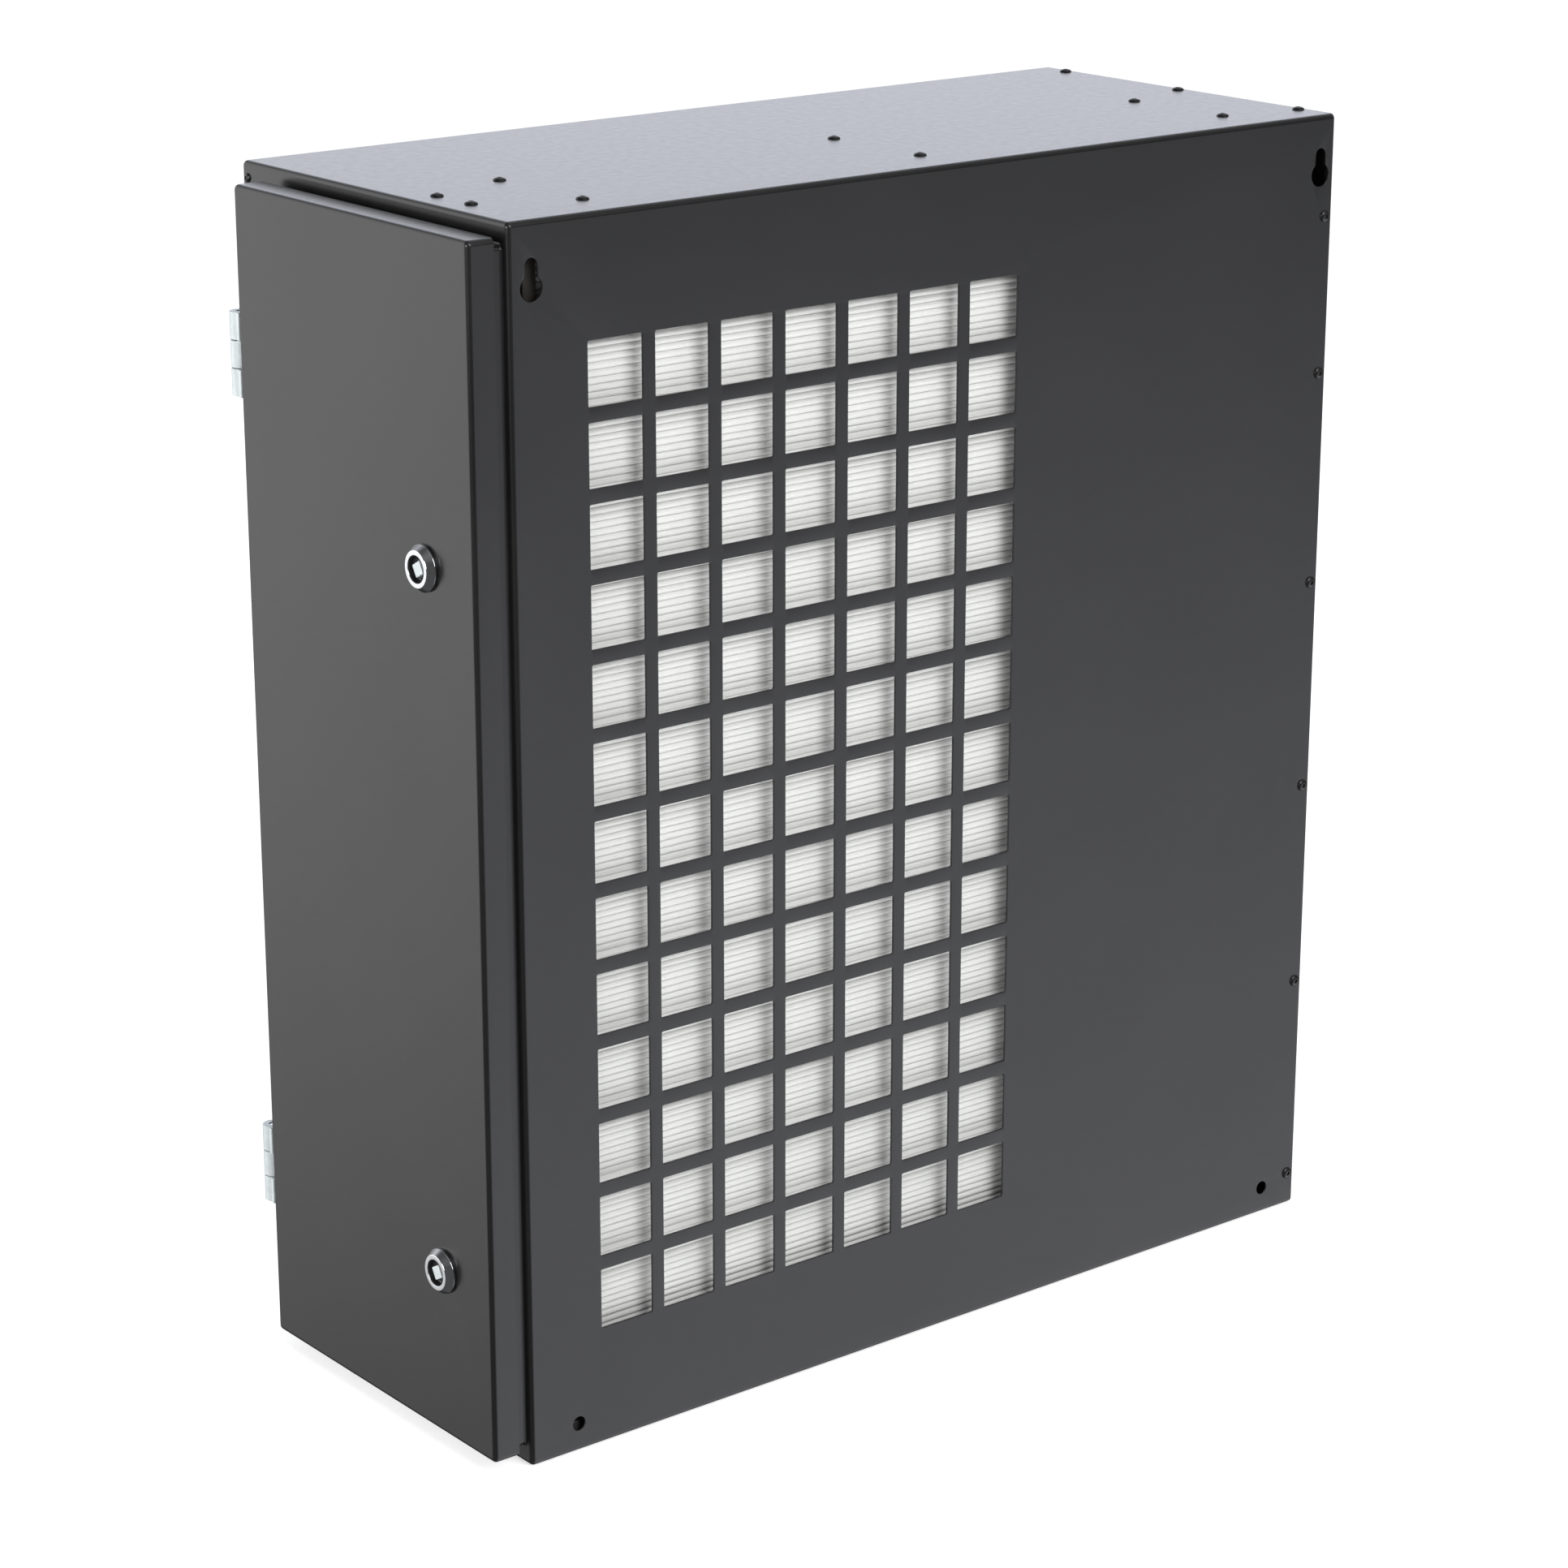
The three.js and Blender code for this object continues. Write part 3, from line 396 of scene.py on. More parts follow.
class Solid:
    """One closed mesh, made of rings of points that are bridged and filled."""

    def __init__(self):
        self.mesh = bmesh.new()

    def ring(self, axis, along, points):
        return [self.mesh.verts.new(at(axis, along, a, b)) for a, b in points]

    def bridge(self, first, second, leave=()):
        for i in range(len(first)):
            j = (i + 1) % len(first)
            if i not in leave:
                self.mesh.faces.new((first[i], first[j], second[j], second[i]))

    def sweep(self, rings, closed=False):
        for first, second in zip(rings, rings[1:]):
            self.bridge(first, second)
        if closed:
            self.bridge(rings[-1], rings[0])

    def fill(self, axis, outer, *holes):
        edges = []
        for ring in (outer, *holes):
            for i, vertex in enumerate(ring):
                ends = (ring[i - 1], vertex)
                edges.append(self.mesh.edges.get(ends) or self.mesh.edges.new(ends))
        normal = at(axis, 1, 0, 0)
        bmesh.ops.triangle_fill(self.mesh, use_beauty=True, edges=edges, normal=normal)

    def pierce(self, axis, places, hole):
        """A hole's wall, as rings at (place along the axis, amount grown)."""
        rings = [self.ring(axis, along, hole(grow)) for along, grow in places]
        self.sweep(rings)
        return rings

    def plate(self, axis, span, outline, holes=(), edge=0.3):
        """A flat piece between two places on an axis, with eased edges and holes."""
        low, high = span
        levels = ((low, edge), (low + edge, 0), (high - edge, 0), (high, edge))
        outside = self.pierce(axis, [(along, -ease) for along, ease in levels], outline)
        walls = [self.pierce(axis, levels, hole) for hole in holes]
        for end in (0, -1):
            self.fill(axis, outside[end], *[wall[end] for wall in walls])
        return self

    def around(self, axis, outline, profile):
        """A frame: a closed profile of (place along the axis, amount grown) carried round."""
        self.sweep([self.ring(axis, along, outline(grow)) for along, grow in profile], closed=True)
        return self

    def turned(self, axis, a, b, profile, steps=64):
        """A turned piece. Its profile of (radius, place along the axis) closes or ends on the axis."""
        open_ends = profile[0][0] == 0
        rings = []
        for radius, along in profile:
            line = circle(a, b, radius, steps)() if radius else [(a, b)]
            rings.append(self.ring(axis, along, line))
        for first, second in zip(rings, rings[1:] if open_ends else rings[1:] + rings[:1]):
            if len(first) == 1 or len(second) == 1:
                tip, rim = (first[0], second) if len(first) == 1 else (second[0], first)
                for i in range(steps):
                    self.mesh.faces.new((tip, rim[i - 1], rim[i]))
            else:
                self.bridge(first, second)
        return self

    def moved(self, matrix):
        bmesh.ops.transform(self.mesh, matrix=matrix, verts=self.mesh.verts)
        return self

    def object(self, name, sharp=50):
        bmesh.ops.recalc_face_normals(self.mesh, faces=self.mesh.faces)
        self.moved(Matrix.Translation(ORIGIN) @ Matrix.Scale(MM, 4))
        for face in self.mesh.faces:
            face.smooth = True
        for edge in self.mesh.edges:
            if len(edge.link_faces) == 2 and edge.calc_face_angle() > math.radians(sharp):
                edge.smooth = False
        data = bpy.data.meshes.new(name)
        self.mesh.to_mesh(data)
        self.mesh.free()
        thing = bpy.data.objects.new(name, data)
        bpy.context.scene.collection.objects.link(thing)
        return thing


def rod(axis, a, b, radius, span, sides=32, ease=0.0, steps=2):
    """A plain round bar between two places on an axis."""
    low, high = span
    line = [(0, low), (radius, low), (radius, high), (0, high)]
    if ease:
        line = softened(line, ease, steps, closed=False)
    return Solid().turned(axis, a, b, line, sides)


def union(name, first, *others, operation="UNION"):
    """One closed mesh from overlapping solids, or the first with the others cut away."""
    base = first.object(name)
    tools = [other.object(f"{name}_tool") for other in others]
    for tool in tools:
        modifier = base.modifiers.new("boolean", "BOOLEAN")
        modifier.operation = operation
        modifier.solver = "EXACT"
        modifier.object = tool
    shape = base.evaluated_get(bpy.context.evaluated_depsgraph_get())
    result = Solid()
    result.mesh.from_mesh(bpy.data.meshes.new_from_object(shape))
    result.moved((Matrix.Translation(ORIGIN) @ Matrix.Scale(MM, 4)).inverted())
    bmesh.ops.remove_doubles(result.mesh, verts=result.mesh.verts, dist=0.001)
    for thing in (base, *tools):
        bpy.data.objects.remove(thing)
    return result


def piece(solid, name, slot, body, *nodes):
    """Puts a finished solid in the scene, on its body and in place of its CAD nodes."""
    thing = solid.object(name)
    thing.data.materials.append(MATERIALS[slot])
    normals = thing.modifiers.new("flat faces stay flat", "WEIGHTED_NORMAL")
    normals.keep_sharp = True
    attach(thing, body)
    if nodes:
        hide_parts(*nodes)
    return thing


# ---- Folded sheets ----
def bend_steps(radius, steps=5):
    """The (distance in from the face, distance in from the wall) of points round a bend."""
    turns = [math.radians(90) * step / steps for step in range(steps + 1)]
    return [(radius * (1 - math.cos(turn)), radius * (1 - math.sin(turn))) for turn in turns]


def tray(face, rim, y, z, face_holes=(), front_holes=(), top_holes=(), collar=None):
    """A sheet face at one X with four bent walls that run to an open rim at another X.

    collar is the outline and profile of a doorway whose edge is folded outward.
    """
    solid = Solid()
    turn = math.copysign(1, rim - face)
    bent = bend_steps(BEND)
    inner = [(SHEET + depth, SHEET + inset) for depth, inset in bend_steps(BEND - SHEET)]
    reach = abs(rim - face)
    lip = [(reach - EDGE, 0), (reach, EDGE), (reach, SHEET - EDGE), (reach - EDGE, SHEET)]
    section = rounded(y, z, BEND + 0.4)
    profile = bent + lip + inner[::-1]
    rings = [solid.ring(X, face + turn * depth, section(-inset)) for depth, inset in profile]

    outer_wall, inner_wall = len(bent) - 1, len(bent) + len(lip) - 1
    per_corner = len(rings[0]) // 4
    walls = []
    if front_holes:
        through = [(y[0], EDGE), (y[0] + EDGE, 0), (y[0] + SHEET - EDGE, 0), (y[0] + SHEET, EDGE)]
        pierced = [solid.pierce(Y, through, hole) for hole in front_holes]
        walls.append((2 * per_corner - 1, Y, pierced))
    if top_holes:
        through = [(z[1], EDGE), (z[1] - EDGE, 0), (z[1] - SHEET + EDGE, 0), (z[1] - SHEET, EDGE)]
        pierced = [solid.pierce(Z, through, hole) for hole in top_holes]
        walls.append((per_corner - 1, Z, pierced))
    left_open = [side for side, _, _ in walls]
    for index, (first, second) in enumerate(zip(rings, rings[1:])):
        wall = index in (outer_wall, inner_wall)
        solid.bridge(first, second, left_open if wall else ())
    for side, axis, pierced in walls:
        for index, end in ((outer_wall, 0), (inner_wall, -1)):
            first, second = rings[index], rings[index + 1]
            corners = (first[side], first[side + 1], second[side + 1], second[side])
            solid.fill(axis, corners, *[hole[end] for hole in pierced])

    through = [(0, EDGE), (EDGE, 0), (SHEET - EDGE, 0), (SHEET, EDGE)]
    through = [(face + turn * depth, ease) for depth, ease in through]
    openings = [solid.pierce(X, through, hole) for hole in face_holes]
    if collar:
        outline, places = collar
        openings.append(solid.pierce(X, places, outline))
    solid.fill(X, rings[0], *[opening[0] for opening in openings])
    solid.fill(X, rings[-1], *[opening[-1] for opening in openings])
    return solid


def grille_holes():
    side = GRILLE["hole"]
    for column in range(GRILLE["columns"]):
        for row in range(GRILLE["rows"]):
            x = GRILLE["left"] + column * GRILLE["pitch"]
            z = GRILLE["top"] - row * GRILLE["pitch"]
            yield rounded((x, x + side), (z - side, z), 0.9, 3)


def doorway_collar():
    """The doorway's edge, folded out of the end face into a lip that stands proud of it."""
    outline = rounded(DOORWAY["y"], DOORWAY["z"], 1.5)
    tip = DOORWAY["lip"]
    outer = [(-SHEET * (1 - math.sin(t)), SHEET + SHEET * (1 - math.cos(t)))
             for t in (math.radians(90) * s / 3 for s in range(3, -1, -1))]
    rim = [(tip + EDGE, SHEET), (tip, SHEET - EDGE), (tip, EDGE), (tip + EDGE, 0)]
    inner = [(-SHEET + BEND * math.sin(t), BEND * (1 - math.cos(t)))
             for t in (math.radians(90) * s / 4 for s in range(5))]
    return outline, outer + rim + inner


def cabinet_skin():
    front = [*grille_holes()]
    front += [keyhole(x) for x in KEYHOLES["x"]]
    front += [circle(x, FIXING_HOLES["z"], FIXING_HOLES["radius"], 32) for x in FIXING_HOLES["x"]]
    front += [circle(END_RIVET_X, z, RIVET["hole"], 16) for z in FRONT_RIVET_Z]
    top = [circle(x, y, RIVET["hole"], 16) for x, y in top_rivets().values()]
    solid = tray(0, WIDTH, (0, DEPTH), (0, HEIGHT), (), front, top, doorway_collar())
    nodes = ("grille_panel", "top_panel", "bottom_panel", "back_panel", "door_frame")
    piece(solid, "cabinet_skin", "powder_coat", "cabinet", *nodes)


def top_rivets():
    """The name and place of each rivet in the top sheet."""
    places = {f"end_rivet_top_{i + 1}": (END_RIVET_X, y) for i, y in enumerate(TOP_RIVET_Y)}
    for side, y in RAIL_Y.items():
        places.update({f"{side}_rail_rivet_{i + 1}": (x, y) for i, x in enumerate(RAIL_RIVET_X)})
    places.update({f"bracket_rivet_{i + 1}": place for i, place in enumerate(BRACKET_RIVETS)})
    return places


def end_skin():
    """The right end, with a notch in its front wall that leaves the right keyhole open."""
    holes = [circle(SPIGOT_Y, z, SPIGOT["hole"]) for z in SPIGOTS.values()]
    holes += [
        rounded(about(CONTROL_Y, SOCKET["shell"][0] + 0.5), about(SOCKET_Z, SOCKET["shell"][1] + 0.5), 1),
        rounded(about(CONTROL_Y, ROCKER["shell"][0] + 0.5), about(ROCKER_Z, ROCKER["shell"][1] + 0.5), 1),
        circle(CONTROL_Y, KNOB_Z, KNOB["bush"] + 0.3, 32),
    ]
    x, y, z = drawn("end_panel")
    outline = rounded((x[0] - 5, x[1] - BEND), (y[0] - 2, y[0] + 6), 1)
    notch = Solid().plate(Z, (KEYHOLES["z"] - 12, KEYHOLES["top"] + 6), outline)
    solid = union("end", tray(x[1], x[0], y, z, holes), notch, operation="DIFFERENCE")
    piece(solid, "end_skin", "powder_coat", "cabinet", "end_panel")


def door_skin():
    holes = [circle(LOCK_Y, z, LOCK["hole"], 48) for z in LOCKS.values()]
    solid = tray(DOOR_X[0], DOOR_X[1], DOOR_Y, DOOR_Z, holes)
    piece(solid, "door_skin", "powder_coat", "door", "door_shell")


def rivet(axis, face, out, a, b):
    """A set blind rivet: a domed head with the broken stem sunk in its middle."""
    head, rise, shank, tail = RIVET["head"], RIVET["rise"], RIVET["shank"], RIVET["length"]
    stem = [(0, rise * 0.5), (0.85, rise * 0.45), (0.95, rise * 0.3), (1.25, rise * 0.3)]
    dome = [(1.45, rise * 0.92), (1.9, rise), (2.9, rise * 0.82), (3.6, rise * 0.5), (head, 0.12)]
    under = [(head - 0.1, 0), (shank, 0), (shank, -3.2), (shank + 0.9, -4.2)]
    end = [(shank + 0.6, 0.6 - tail), (0, -tail)]
    profile = [(radius, face + out * (GAP / 3 + along)) for radius, along in stem + dome + under + end]
    return Solid().turned(axis, a, b, profile, 32)


def rivets():
    for i, z in enumerate(FRONT_RIVET_Z):
        node = f"end_rivet_front_{i + 1}"
        piece(rivet(Y, 0, -1, END_RIVET_X, z), f"fine_{node}", "powder_coat", "cabinet", node)
    for name, (x, y) in top_rivets().items():
        nodes = [name] if name in frame["nodes"] else []
        piece(rivet(Z, HEIGHT, 1, x, y), f"fine_{name}", "powder_coat", "cabinet", *nodes)


def door_frame_stud():
    """The small stud at the top rear corner of the door frame."""
    y, z = CORNER_STUD
    line = [(0, 0.9), (1, 0.8), (1.2, 1.3), (2, 1.2), (2.8, 0.5), (2.8, 0.1), (0, 0.1)]
    stud = Solid().turned(X, y, z, [(radius, -along) for radius, along in line], 24)
    piece(stud, "door_frame_stud", "powder_coat", "cabinet")


# ---- Rails, brackets and plates inside ----
def strip(axis, span, corners):
    """A folded strip: a flat outline with softened corners, drawn out along an axis."""
    return Solid().plate(axis, span, polygon(corners, 0.6), edge=0.2)


def upper_rails():
    for side in RAIL_Y:
        x, (y0, y1), (z0, _) = drawn(f"upper_{side}_rail")
        z1 = HEIGHT - SHEET - GAP
        corners = [
            (y0, z0), (y0 + SHEET, z0), (y0 + SHEET, z1 - SHEET), (y1 - SHEET, z1 - SHEET),
            (y1 - SHEET, z0), (y1, z0), (y1, z1), (y0, z1),
        ]
        node = f"upper_{side}_rail"
        piece(strip(X, x, corners), f"fine_{side}_rail", "powder_coat", "cabinet", node)


def frame_bracket():
    (x0, x1), y, (z0, _) = drawn("door_frame_bracket")
    z1 = HEIGHT - SHEET - GAP
    inner = [(x0 + SHEET, z0), (x0 + SHEET, z1 - SHEET), (x1, z1 - SHEET)]
    corners = [(x0, z0), *inner, (x1, z1), (x0, z1)]
    piece(strip(Y, y, corners), "fine_bracket", "powder_coat", "cabinet", "door_frame_bracket")


def tray_outline():
    """The filter shelf: a folded sheet with a rib between the filters and one behind them."""
    _, (front, _), (floor, rib) = drawn("filter_tray")
    shelf = rib - 12
    (near0, near1), (far0, far1) = [about(y, 6) for y in RAIL_Y.values()]
    top = [(front, floor), (front, shelf), (near0, shelf), (near0, rib), (near1, rib), (near1, shelf)]
    top += [(far0, shelf), (far0, rib), (far1, rib), (far1, floor)]
    low, high = shelf - SHEET, rib - SHEET
    under = [(far1 - SHEET, floor), (far1 - SHEET, high), (far0 + SHEET, high), (far0 + SHEET, low)]
    under += [(near1 - SHEET, low), (near1 - SHEET, high), (near0 + SHEET, high), (near0 + SHEET, low)]
    return top + under + [(front + SHEET, low), (front + SHEET, floor)]


def inner_sheets():
    shelf = strip(X, drawn("filter_tray")[0], tray_outline())
    piece(shelf, "fine_filter_tray", "galvanised_sheet", "cabinet", "filter_tray")
    for node in ("bay_divider", "partition_plate"):
        x, y, z = drawn(node)
        axis = X if x[1] - x[0] < 3 else Y
        outline = rounded(y, z, 1) if axis == X else rounded(x, z, 1)
        solid = Solid().plate(axis, x if axis == X else y, outline)
        piece(solid, f"fine_{node}", "galvanised_sheet", "cabinet", node)
    x, y, z = drawn("fan_bulkhead")
    solid = Solid().plate(X, x, rounded(y, z, 1), [circle(FAN_Y, FAN_Z, FAN_INLET)])
    piece(solid, "fine_fan_bulkhead", "galvanised_sheet", "cabinet", "fan_bulkhead")


# ---- Filters ----
def channel(node, wall, lip, bend, inner):
    """A folded channel that goes all the way round, open at the front and back inside its lips."""
    x, (front, back), z = drawn(node)
    outside = [(front, -lip), (front, -bend), (front + bend / 3, -bend / 3), (front + bend, 0)]
    outside += [(back - bend, 0), (back - bend / 3, -bend / 3), (back, -bend), (back, -lip)]
    deep = wall + inner
    inside = [(back - wall, -lip), (back - wall, -deep), (back - deep, -wall)]
    inside += [(front + deep, -wall), (front + wall, -deep), (front + wall, -lip)]
    return Solid().around(Y, rounded(x, z, 2), outside + inside)


def filter_casings():
    """The frame round the pleated paper, and the casing that holds the carbon in."""
    node = "particle_filter_frame"
    solid = channel(node, wall=0.8, lip=9, bend=0.9, inner=0.2)
    piece(solid, "fine_particle_frame", "filter_frame", "cabinet", node)
    node = "carbon_cassette"
    solid = channel(node, wall=2, lip=14, bend=1.2, inner=0.4)
    piece(solid, f"fine_{node}", "galvanised_sheet", "cabinet", node)


PLEAT = {"pitch": 4.2, "gap": 0.12, "crown": 1.7, "power": 2.6, "paper": 0.35, "steps": 10}


def pleat_line(front, back, low, count, pitch):
    """The paper's front side in section, as (y, z): rounded folds whose walls lie close together."""
    half = (pitch - PLEAT["gap"]) / 2
    line = []
    for fold in range(count):
        centre = low + (fold + 0.5) * pitch
        line.append((back, centre - half))
        for step in range(PLEAT["steps"] + 1):
            across = 2 * step / PLEAT["steps"] - 1
            line.append((front + PLEAT["crown"] * abs(across) ** PLEAT["power"], centre + half * across))
        line.append((back, centre + half))
    return line


def uneven(x, paper, front, low, pitch):
    """The paper's section at one X: its folds sway and sink by a fraction of a millimetre."""
    points = []
    for y, z in paper:
        fold = (z - low) / pitch
        sway = 0.16 * math.sin(x / 41 + fold * 0.9) + 0.1 * math.sin(x / 17 + fold * 2.3)
        depth = 0.18 * math.sin(fold * 1.7) * math.sin(x / 63 + fold * 0.37)
        near = max(0.0, 1 - (y - front) / 6)
        points.append((y + depth * near, z + sway * near))
    return points


def pleated_paper():
    """Folded paper whose folds run along the width, slightly uneven, as a pack of real pleats is."""
    (x0, x1), (front, back), (z0, z1) = drawn("particle_filter_media")
    x0, x1 = x0 - 0.2, x1 + 0.2
    count = round((z1 - z0) / PLEAT["pitch"])
    pitch = (z1 - z0) / count
    line = pleat_line(front, back - 0.6, z0, count, pitch)
    paper = polygon_strip(line, PLEAT["paper"])
    solid = Solid()
    stations = [x0 + (x1 - x0) * step / 24 for step in range(25)]
    rings = [solid.ring(X, x, uneven(x, paper, front, z0, pitch)) for x in stations]
    solid.sweep(rings)
    half = len(rings[0]) // 2
    for ring in (rings[0], rings[-1]):
        for i in range(half - 1):
            solid.mesh.faces.new((ring[i], ring[i + 1], ring[-i - 2], ring[-i - 1]))
    piece(solid, "pleated_paper", "filter_paper", "cabinet", "particle_filter_media")


def polygon_strip(line, thickness):
    """A thin closed outline: the line, and the line again at a distance behind it, backwards."""
    behind = []
    for i, here in enumerate(line):
        before, after = line[max(i - 1, 0)], line[min(i + 1, len(line) - 1)]
        along = (Vector(after) - Vector(before)).normalized()
        behind.append((here[0] + along.y * thickness, here[1] - along.x * thickness))
    return line + behind[::-1]


def prefilter():
    """A fibre mat with soft, round edges."""
    x, (y0, y1), z = drawn("prefilter_pad")
    solid = Solid()
    outline = rounded(x, z, 6, 6)
    curve = [(0, -4), (0.5, -1.6), (1.8, -0.4)]
    front = [(y0 + depth, inset) for depth, inset in curve]
    rear = [(y1 - depth, inset) for depth, inset in curve[::-1]]
    rings = solid.pierce(Y, [*front, (middle((y0, y1)), 0), *rear], outline)
    for end in (0, -1):
        solid.fill(Y, rings[end])
    thing = piece(solid, "fleece_mat", "fleece", "cabinet", "prefilter_pad")


def seals():
    """The foam between the grille and the filter, and the foam round the door's inside."""
    x, (y0, y1), z = drawn("grille_seal")
    inside = rounded(grown(x, -12), grown(z, -12), 2)
    inner = [(y0, 0.4), (y0 + 0.6, 0), (y1 - 0.6, 0), (y1, 0.4)]
    outer = [(y1, 11.4), (y1 - 0.6, 12), (y0 + 0.6, 12), (y0, 11.4)]
    solid = Solid().around(Y, inside, inner + outer)
    piece(solid, "foam_grille_seal", "foam", "cabinet", "grille_seal")
    (x0, x1), y, z = drawn("door_gasket")
    inside = rounded((y[0] + 8, y[1] - 9), (z[0] + 12, z[1] - 12), 3)
    seat = [(x0, 0.3), (x0, 7.7), (x0 + 1, 8)]
    crown = [(x1 - 1.2, 7.7), (x1 - 0.3, 6.4), (x1, 4.4), (x1 - 0.3, 2), (x1 - 1.2, 0.5)]
    solid = Solid().around(X, inside, seat + crown)
    piece(solid, "foam_door_gasket", "foam", "door", "door_gasket")


# ---- Hinges ----
HINGE = {"half": 25.5, "third": 8.5, "leaf": 3, "knuckle": 6.5, "bore": 2.5, "pin": 2.2}
HINGE_FRONT, HINGE_TONGUE = 249, -12.2


def knuckle(low, high):
    return rod(Z, HINGE_X, HINGE_Y, HINGE["knuckle"], (low, high), 48, 0.5)


def hinge_bore(z):
    return rod(Z, HINGE_X, HINGE_Y, HINGE["bore"], about(z, HINGE["half"] + 4.5))


def cabinet_leaf(level, z):
    """The leaf on the cabinet's rear flange, whose arm carries the middle knuckle."""
    rear = drawn(f"{level}_hinge_cabinet_leaf")[1][1]
    flat = rounded((HINGE_FRONT, rear), about(z, HINGE["half"]), 1.5)
    plate = Solid().plate(X, (-GAP - HINGE["leaf"], -GAP), flat, edge=0.6)
    reach = rounded((HINGE_X, -1.5), (HINGE_Y + 0.5, HINGE_Y + 6.5), 0.6)
    span = about(z, HINGE["third"] - GAP)
    arm = Solid().plate(Z, span, reach, edge=0.4)
    leaf = union(f"{level}_leaf", plate, arm, knuckle(*span))
    leaf = union(f"{level}_leaf", leaf, hinge_bore(z), operation="DIFFERENCE")
    node = f"{level}_hinge_cabinet_leaf"
    piece(leaf, f"fine_{node}", "zinc_casting", "cabinet", node)


def door_leaf(level, z):
    """The leaf on the door's rear wall, with a knuckle above the middle one and one below it."""
    half, gap = HINGE["half"], HINGE["third"] + GAP
    seat = DOOR_Y[1] + GAP
    x0, x1 = DOOR_X[0] + 0.5, DOOR_X[1] - 1
    flat = [(x0, z - half), (x1, z - half), (x1, z + half), (x0, z + half)]
    flat += [(x0, z + gap), (HINGE_TONGUE, z + gap), (HINGE_TONGUE, z - gap), (x0, z - gap)]
    plate = Solid().plate(Y, (seat, seat + HINGE["leaf"]), polygon(flat, 0.6), edge=0.5)
    leaf = union(f"{level}_leaf", plate, knuckle(z - half, z - gap), knuckle(z + gap, z + half))
    leaf = union(f"{level}_leaf", leaf, hinge_bore(z), operation="DIFFERENCE")
    node = f"{level}_hinge_door_leaf"
    piece(leaf, f"fine_{node}", "zinc_casting", "door", node)


def hinges():
    for level, z in HINGES.items():
        cabinet_leaf(level, z)
        door_leaf(level, z)
        node = f"{level}_hinge_pin"
        pin = rod(Z, HINGE_X, HINGE_Y, HINGE["pin"], about(z, HINGE["half"] - 0.5), ease=0.5)
        piece(pin, f"fine_{node}", "chrome", frame["nodes"][node]["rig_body"], node)


# ---- Locks ----
LOCK_FACE, LOCK_REAR = drawn("upper_lock_housing")[0]
KEY_ANGLE = 30


def key_square(z, half):
    """The corners of the stud that the key turns. It stands a little turned at rest."""
    reach = half * math.sqrt(2)
    turns = [math.radians(45 + 90 * corner - KEY_ANGLE) for corner in range(4)]
    return [(LOCK_Y + reach * math.cos(turn), z + reach * math.sin(turn)) for turn in turns]


def square(z, half, radius):
    return rounded(about(LOCK_Y, half), about(z, half), radius)


def lock_housing(level, z):
    """A bezel with a flat rim and a threaded neck, and a dark liner inside its mouth: painted shade and
    painted dark reflection in the recess.
    """
    bezel, rim, mouth, bore = (LOCK[name] for name in ("bezel", "rim", "mouth", "bore"))
    floor, skin = LOCK_FACE + 3.5, DOOR_X[0] - 0.1
    line = [(bore, floor), (mouth, floor), (mouth, LOCK_FACE), (rim, LOCK_FACE), (bezel, LOCK_FACE + 4.2)]
    line += [(bezel, skin), (LOCK["thread"], skin), (LOCK["thread"], LOCK_REAR), (bore, LOCK_REAR)]
    housing = Solid().turned(X, LOCK_Y, z, softened(line, 0.35, 3), 96)
    piece(housing, f"fine_{level}_lock_housing", "chrome", "door", f"{level}_lock_housing")
    # Painted shade: a thin dark plastic liner on the mouth's wall and floor darkens the recess, which the
    # chrome would otherwise show white.
    inner, outer, shallow, deep = 7.9, 8.05, LOCK_FACE + 3.3, LOCK_FACE + 3.45
    line = [(6.4, shallow), (inner, shallow), (inner, LOCK_FACE + 0.5), (outer, LOCK_FACE + 0.5)]
    well = Solid().turned(X, LOCK_Y, z, line + [(outer, deep), (6.4, deep)], 96)
    piece(well, f"{level}_lock_shade_liner", "plastic", "door")


def lock_nut(level, z):
    inside = DOOR_X[0] + SHEET + 0.1
    hole = circle(LOCK_Y, z, LOCK["hole"], 48)
    nut = Solid().plate(X, (inside, inside + 5), circle(LOCK_Y, z, LOCK["nut"], 6, 30), [hole], edge=0.6)
    piece(nut, f"fine_{level}_lock_nut", "zinc_casting", "door", f"{level}_lock_nut")


def lock_barrel(level, z):
    """The plug with the stud that the key turns, the square tail behind it and a dark disc of painted shade
    on the recess floor.
    """
    node, body = f"{level}_lock_barrel", f"{level}_lock"
    plug = rod(X, LOCK_Y, z, LOCK["plug"], (LOCK_FACE + 3.8, LOCK_REAR + 2), 64, 0.3)
    corners = polygon(key_square(z, LOCK["stud"]), 0.6)
    stud = Solid().plate(X, (LOCK_FACE + 1.2, LOCK_FACE + 5), corners, edge=0.4)
    tail = Solid().plate(X, (LOCK_REAR + 1, drawn(node)[0][1]), square(z, LOCK["tail"], 0.4))
    piece(union(f"{level}_barrel", plug, stud, tail), f"fine_{node}", "zinc_casting", body, node)
    # Painted shade: the dark disc darkens the recess floor round the stud.
    hole = polygon(key_square(z, LOCK["stud"] + 0.1), 0.7)
    span, outline = (LOCK_FACE + 3.45, LOCK_FACE + 3.78), circle(LOCK_Y, z, LOCK["plug"] - 0.05)
    disc = Solid().plate(X, span, outline, [hole], edge=0.05)
    piece(disc, f"{level}_lock_shade_disc", "plastic", body)


def lock_cam(level, z):
    node = f"{level}_lock_cam"
    x, _, (low, _) = drawn(node)
    arm = arc(LOCK_Y, z, 9, 0, 180, 16) + [(LOCK_Y - 7, low), (LOCK_Y + 7, low)]
    cam = Solid().plate(X, x, polygon(arm), [square(z, LOCK["tail"] + 0.3, 0.3)])
    piece(cam, f"fine_{node}", "zinc_casting", f"{level}_lock", node)


def locks():
    for level, z in LOCKS.items():
        for part in (lock_housing, lock_nut, lock_barrel, lock_cam):
            part(level, z)


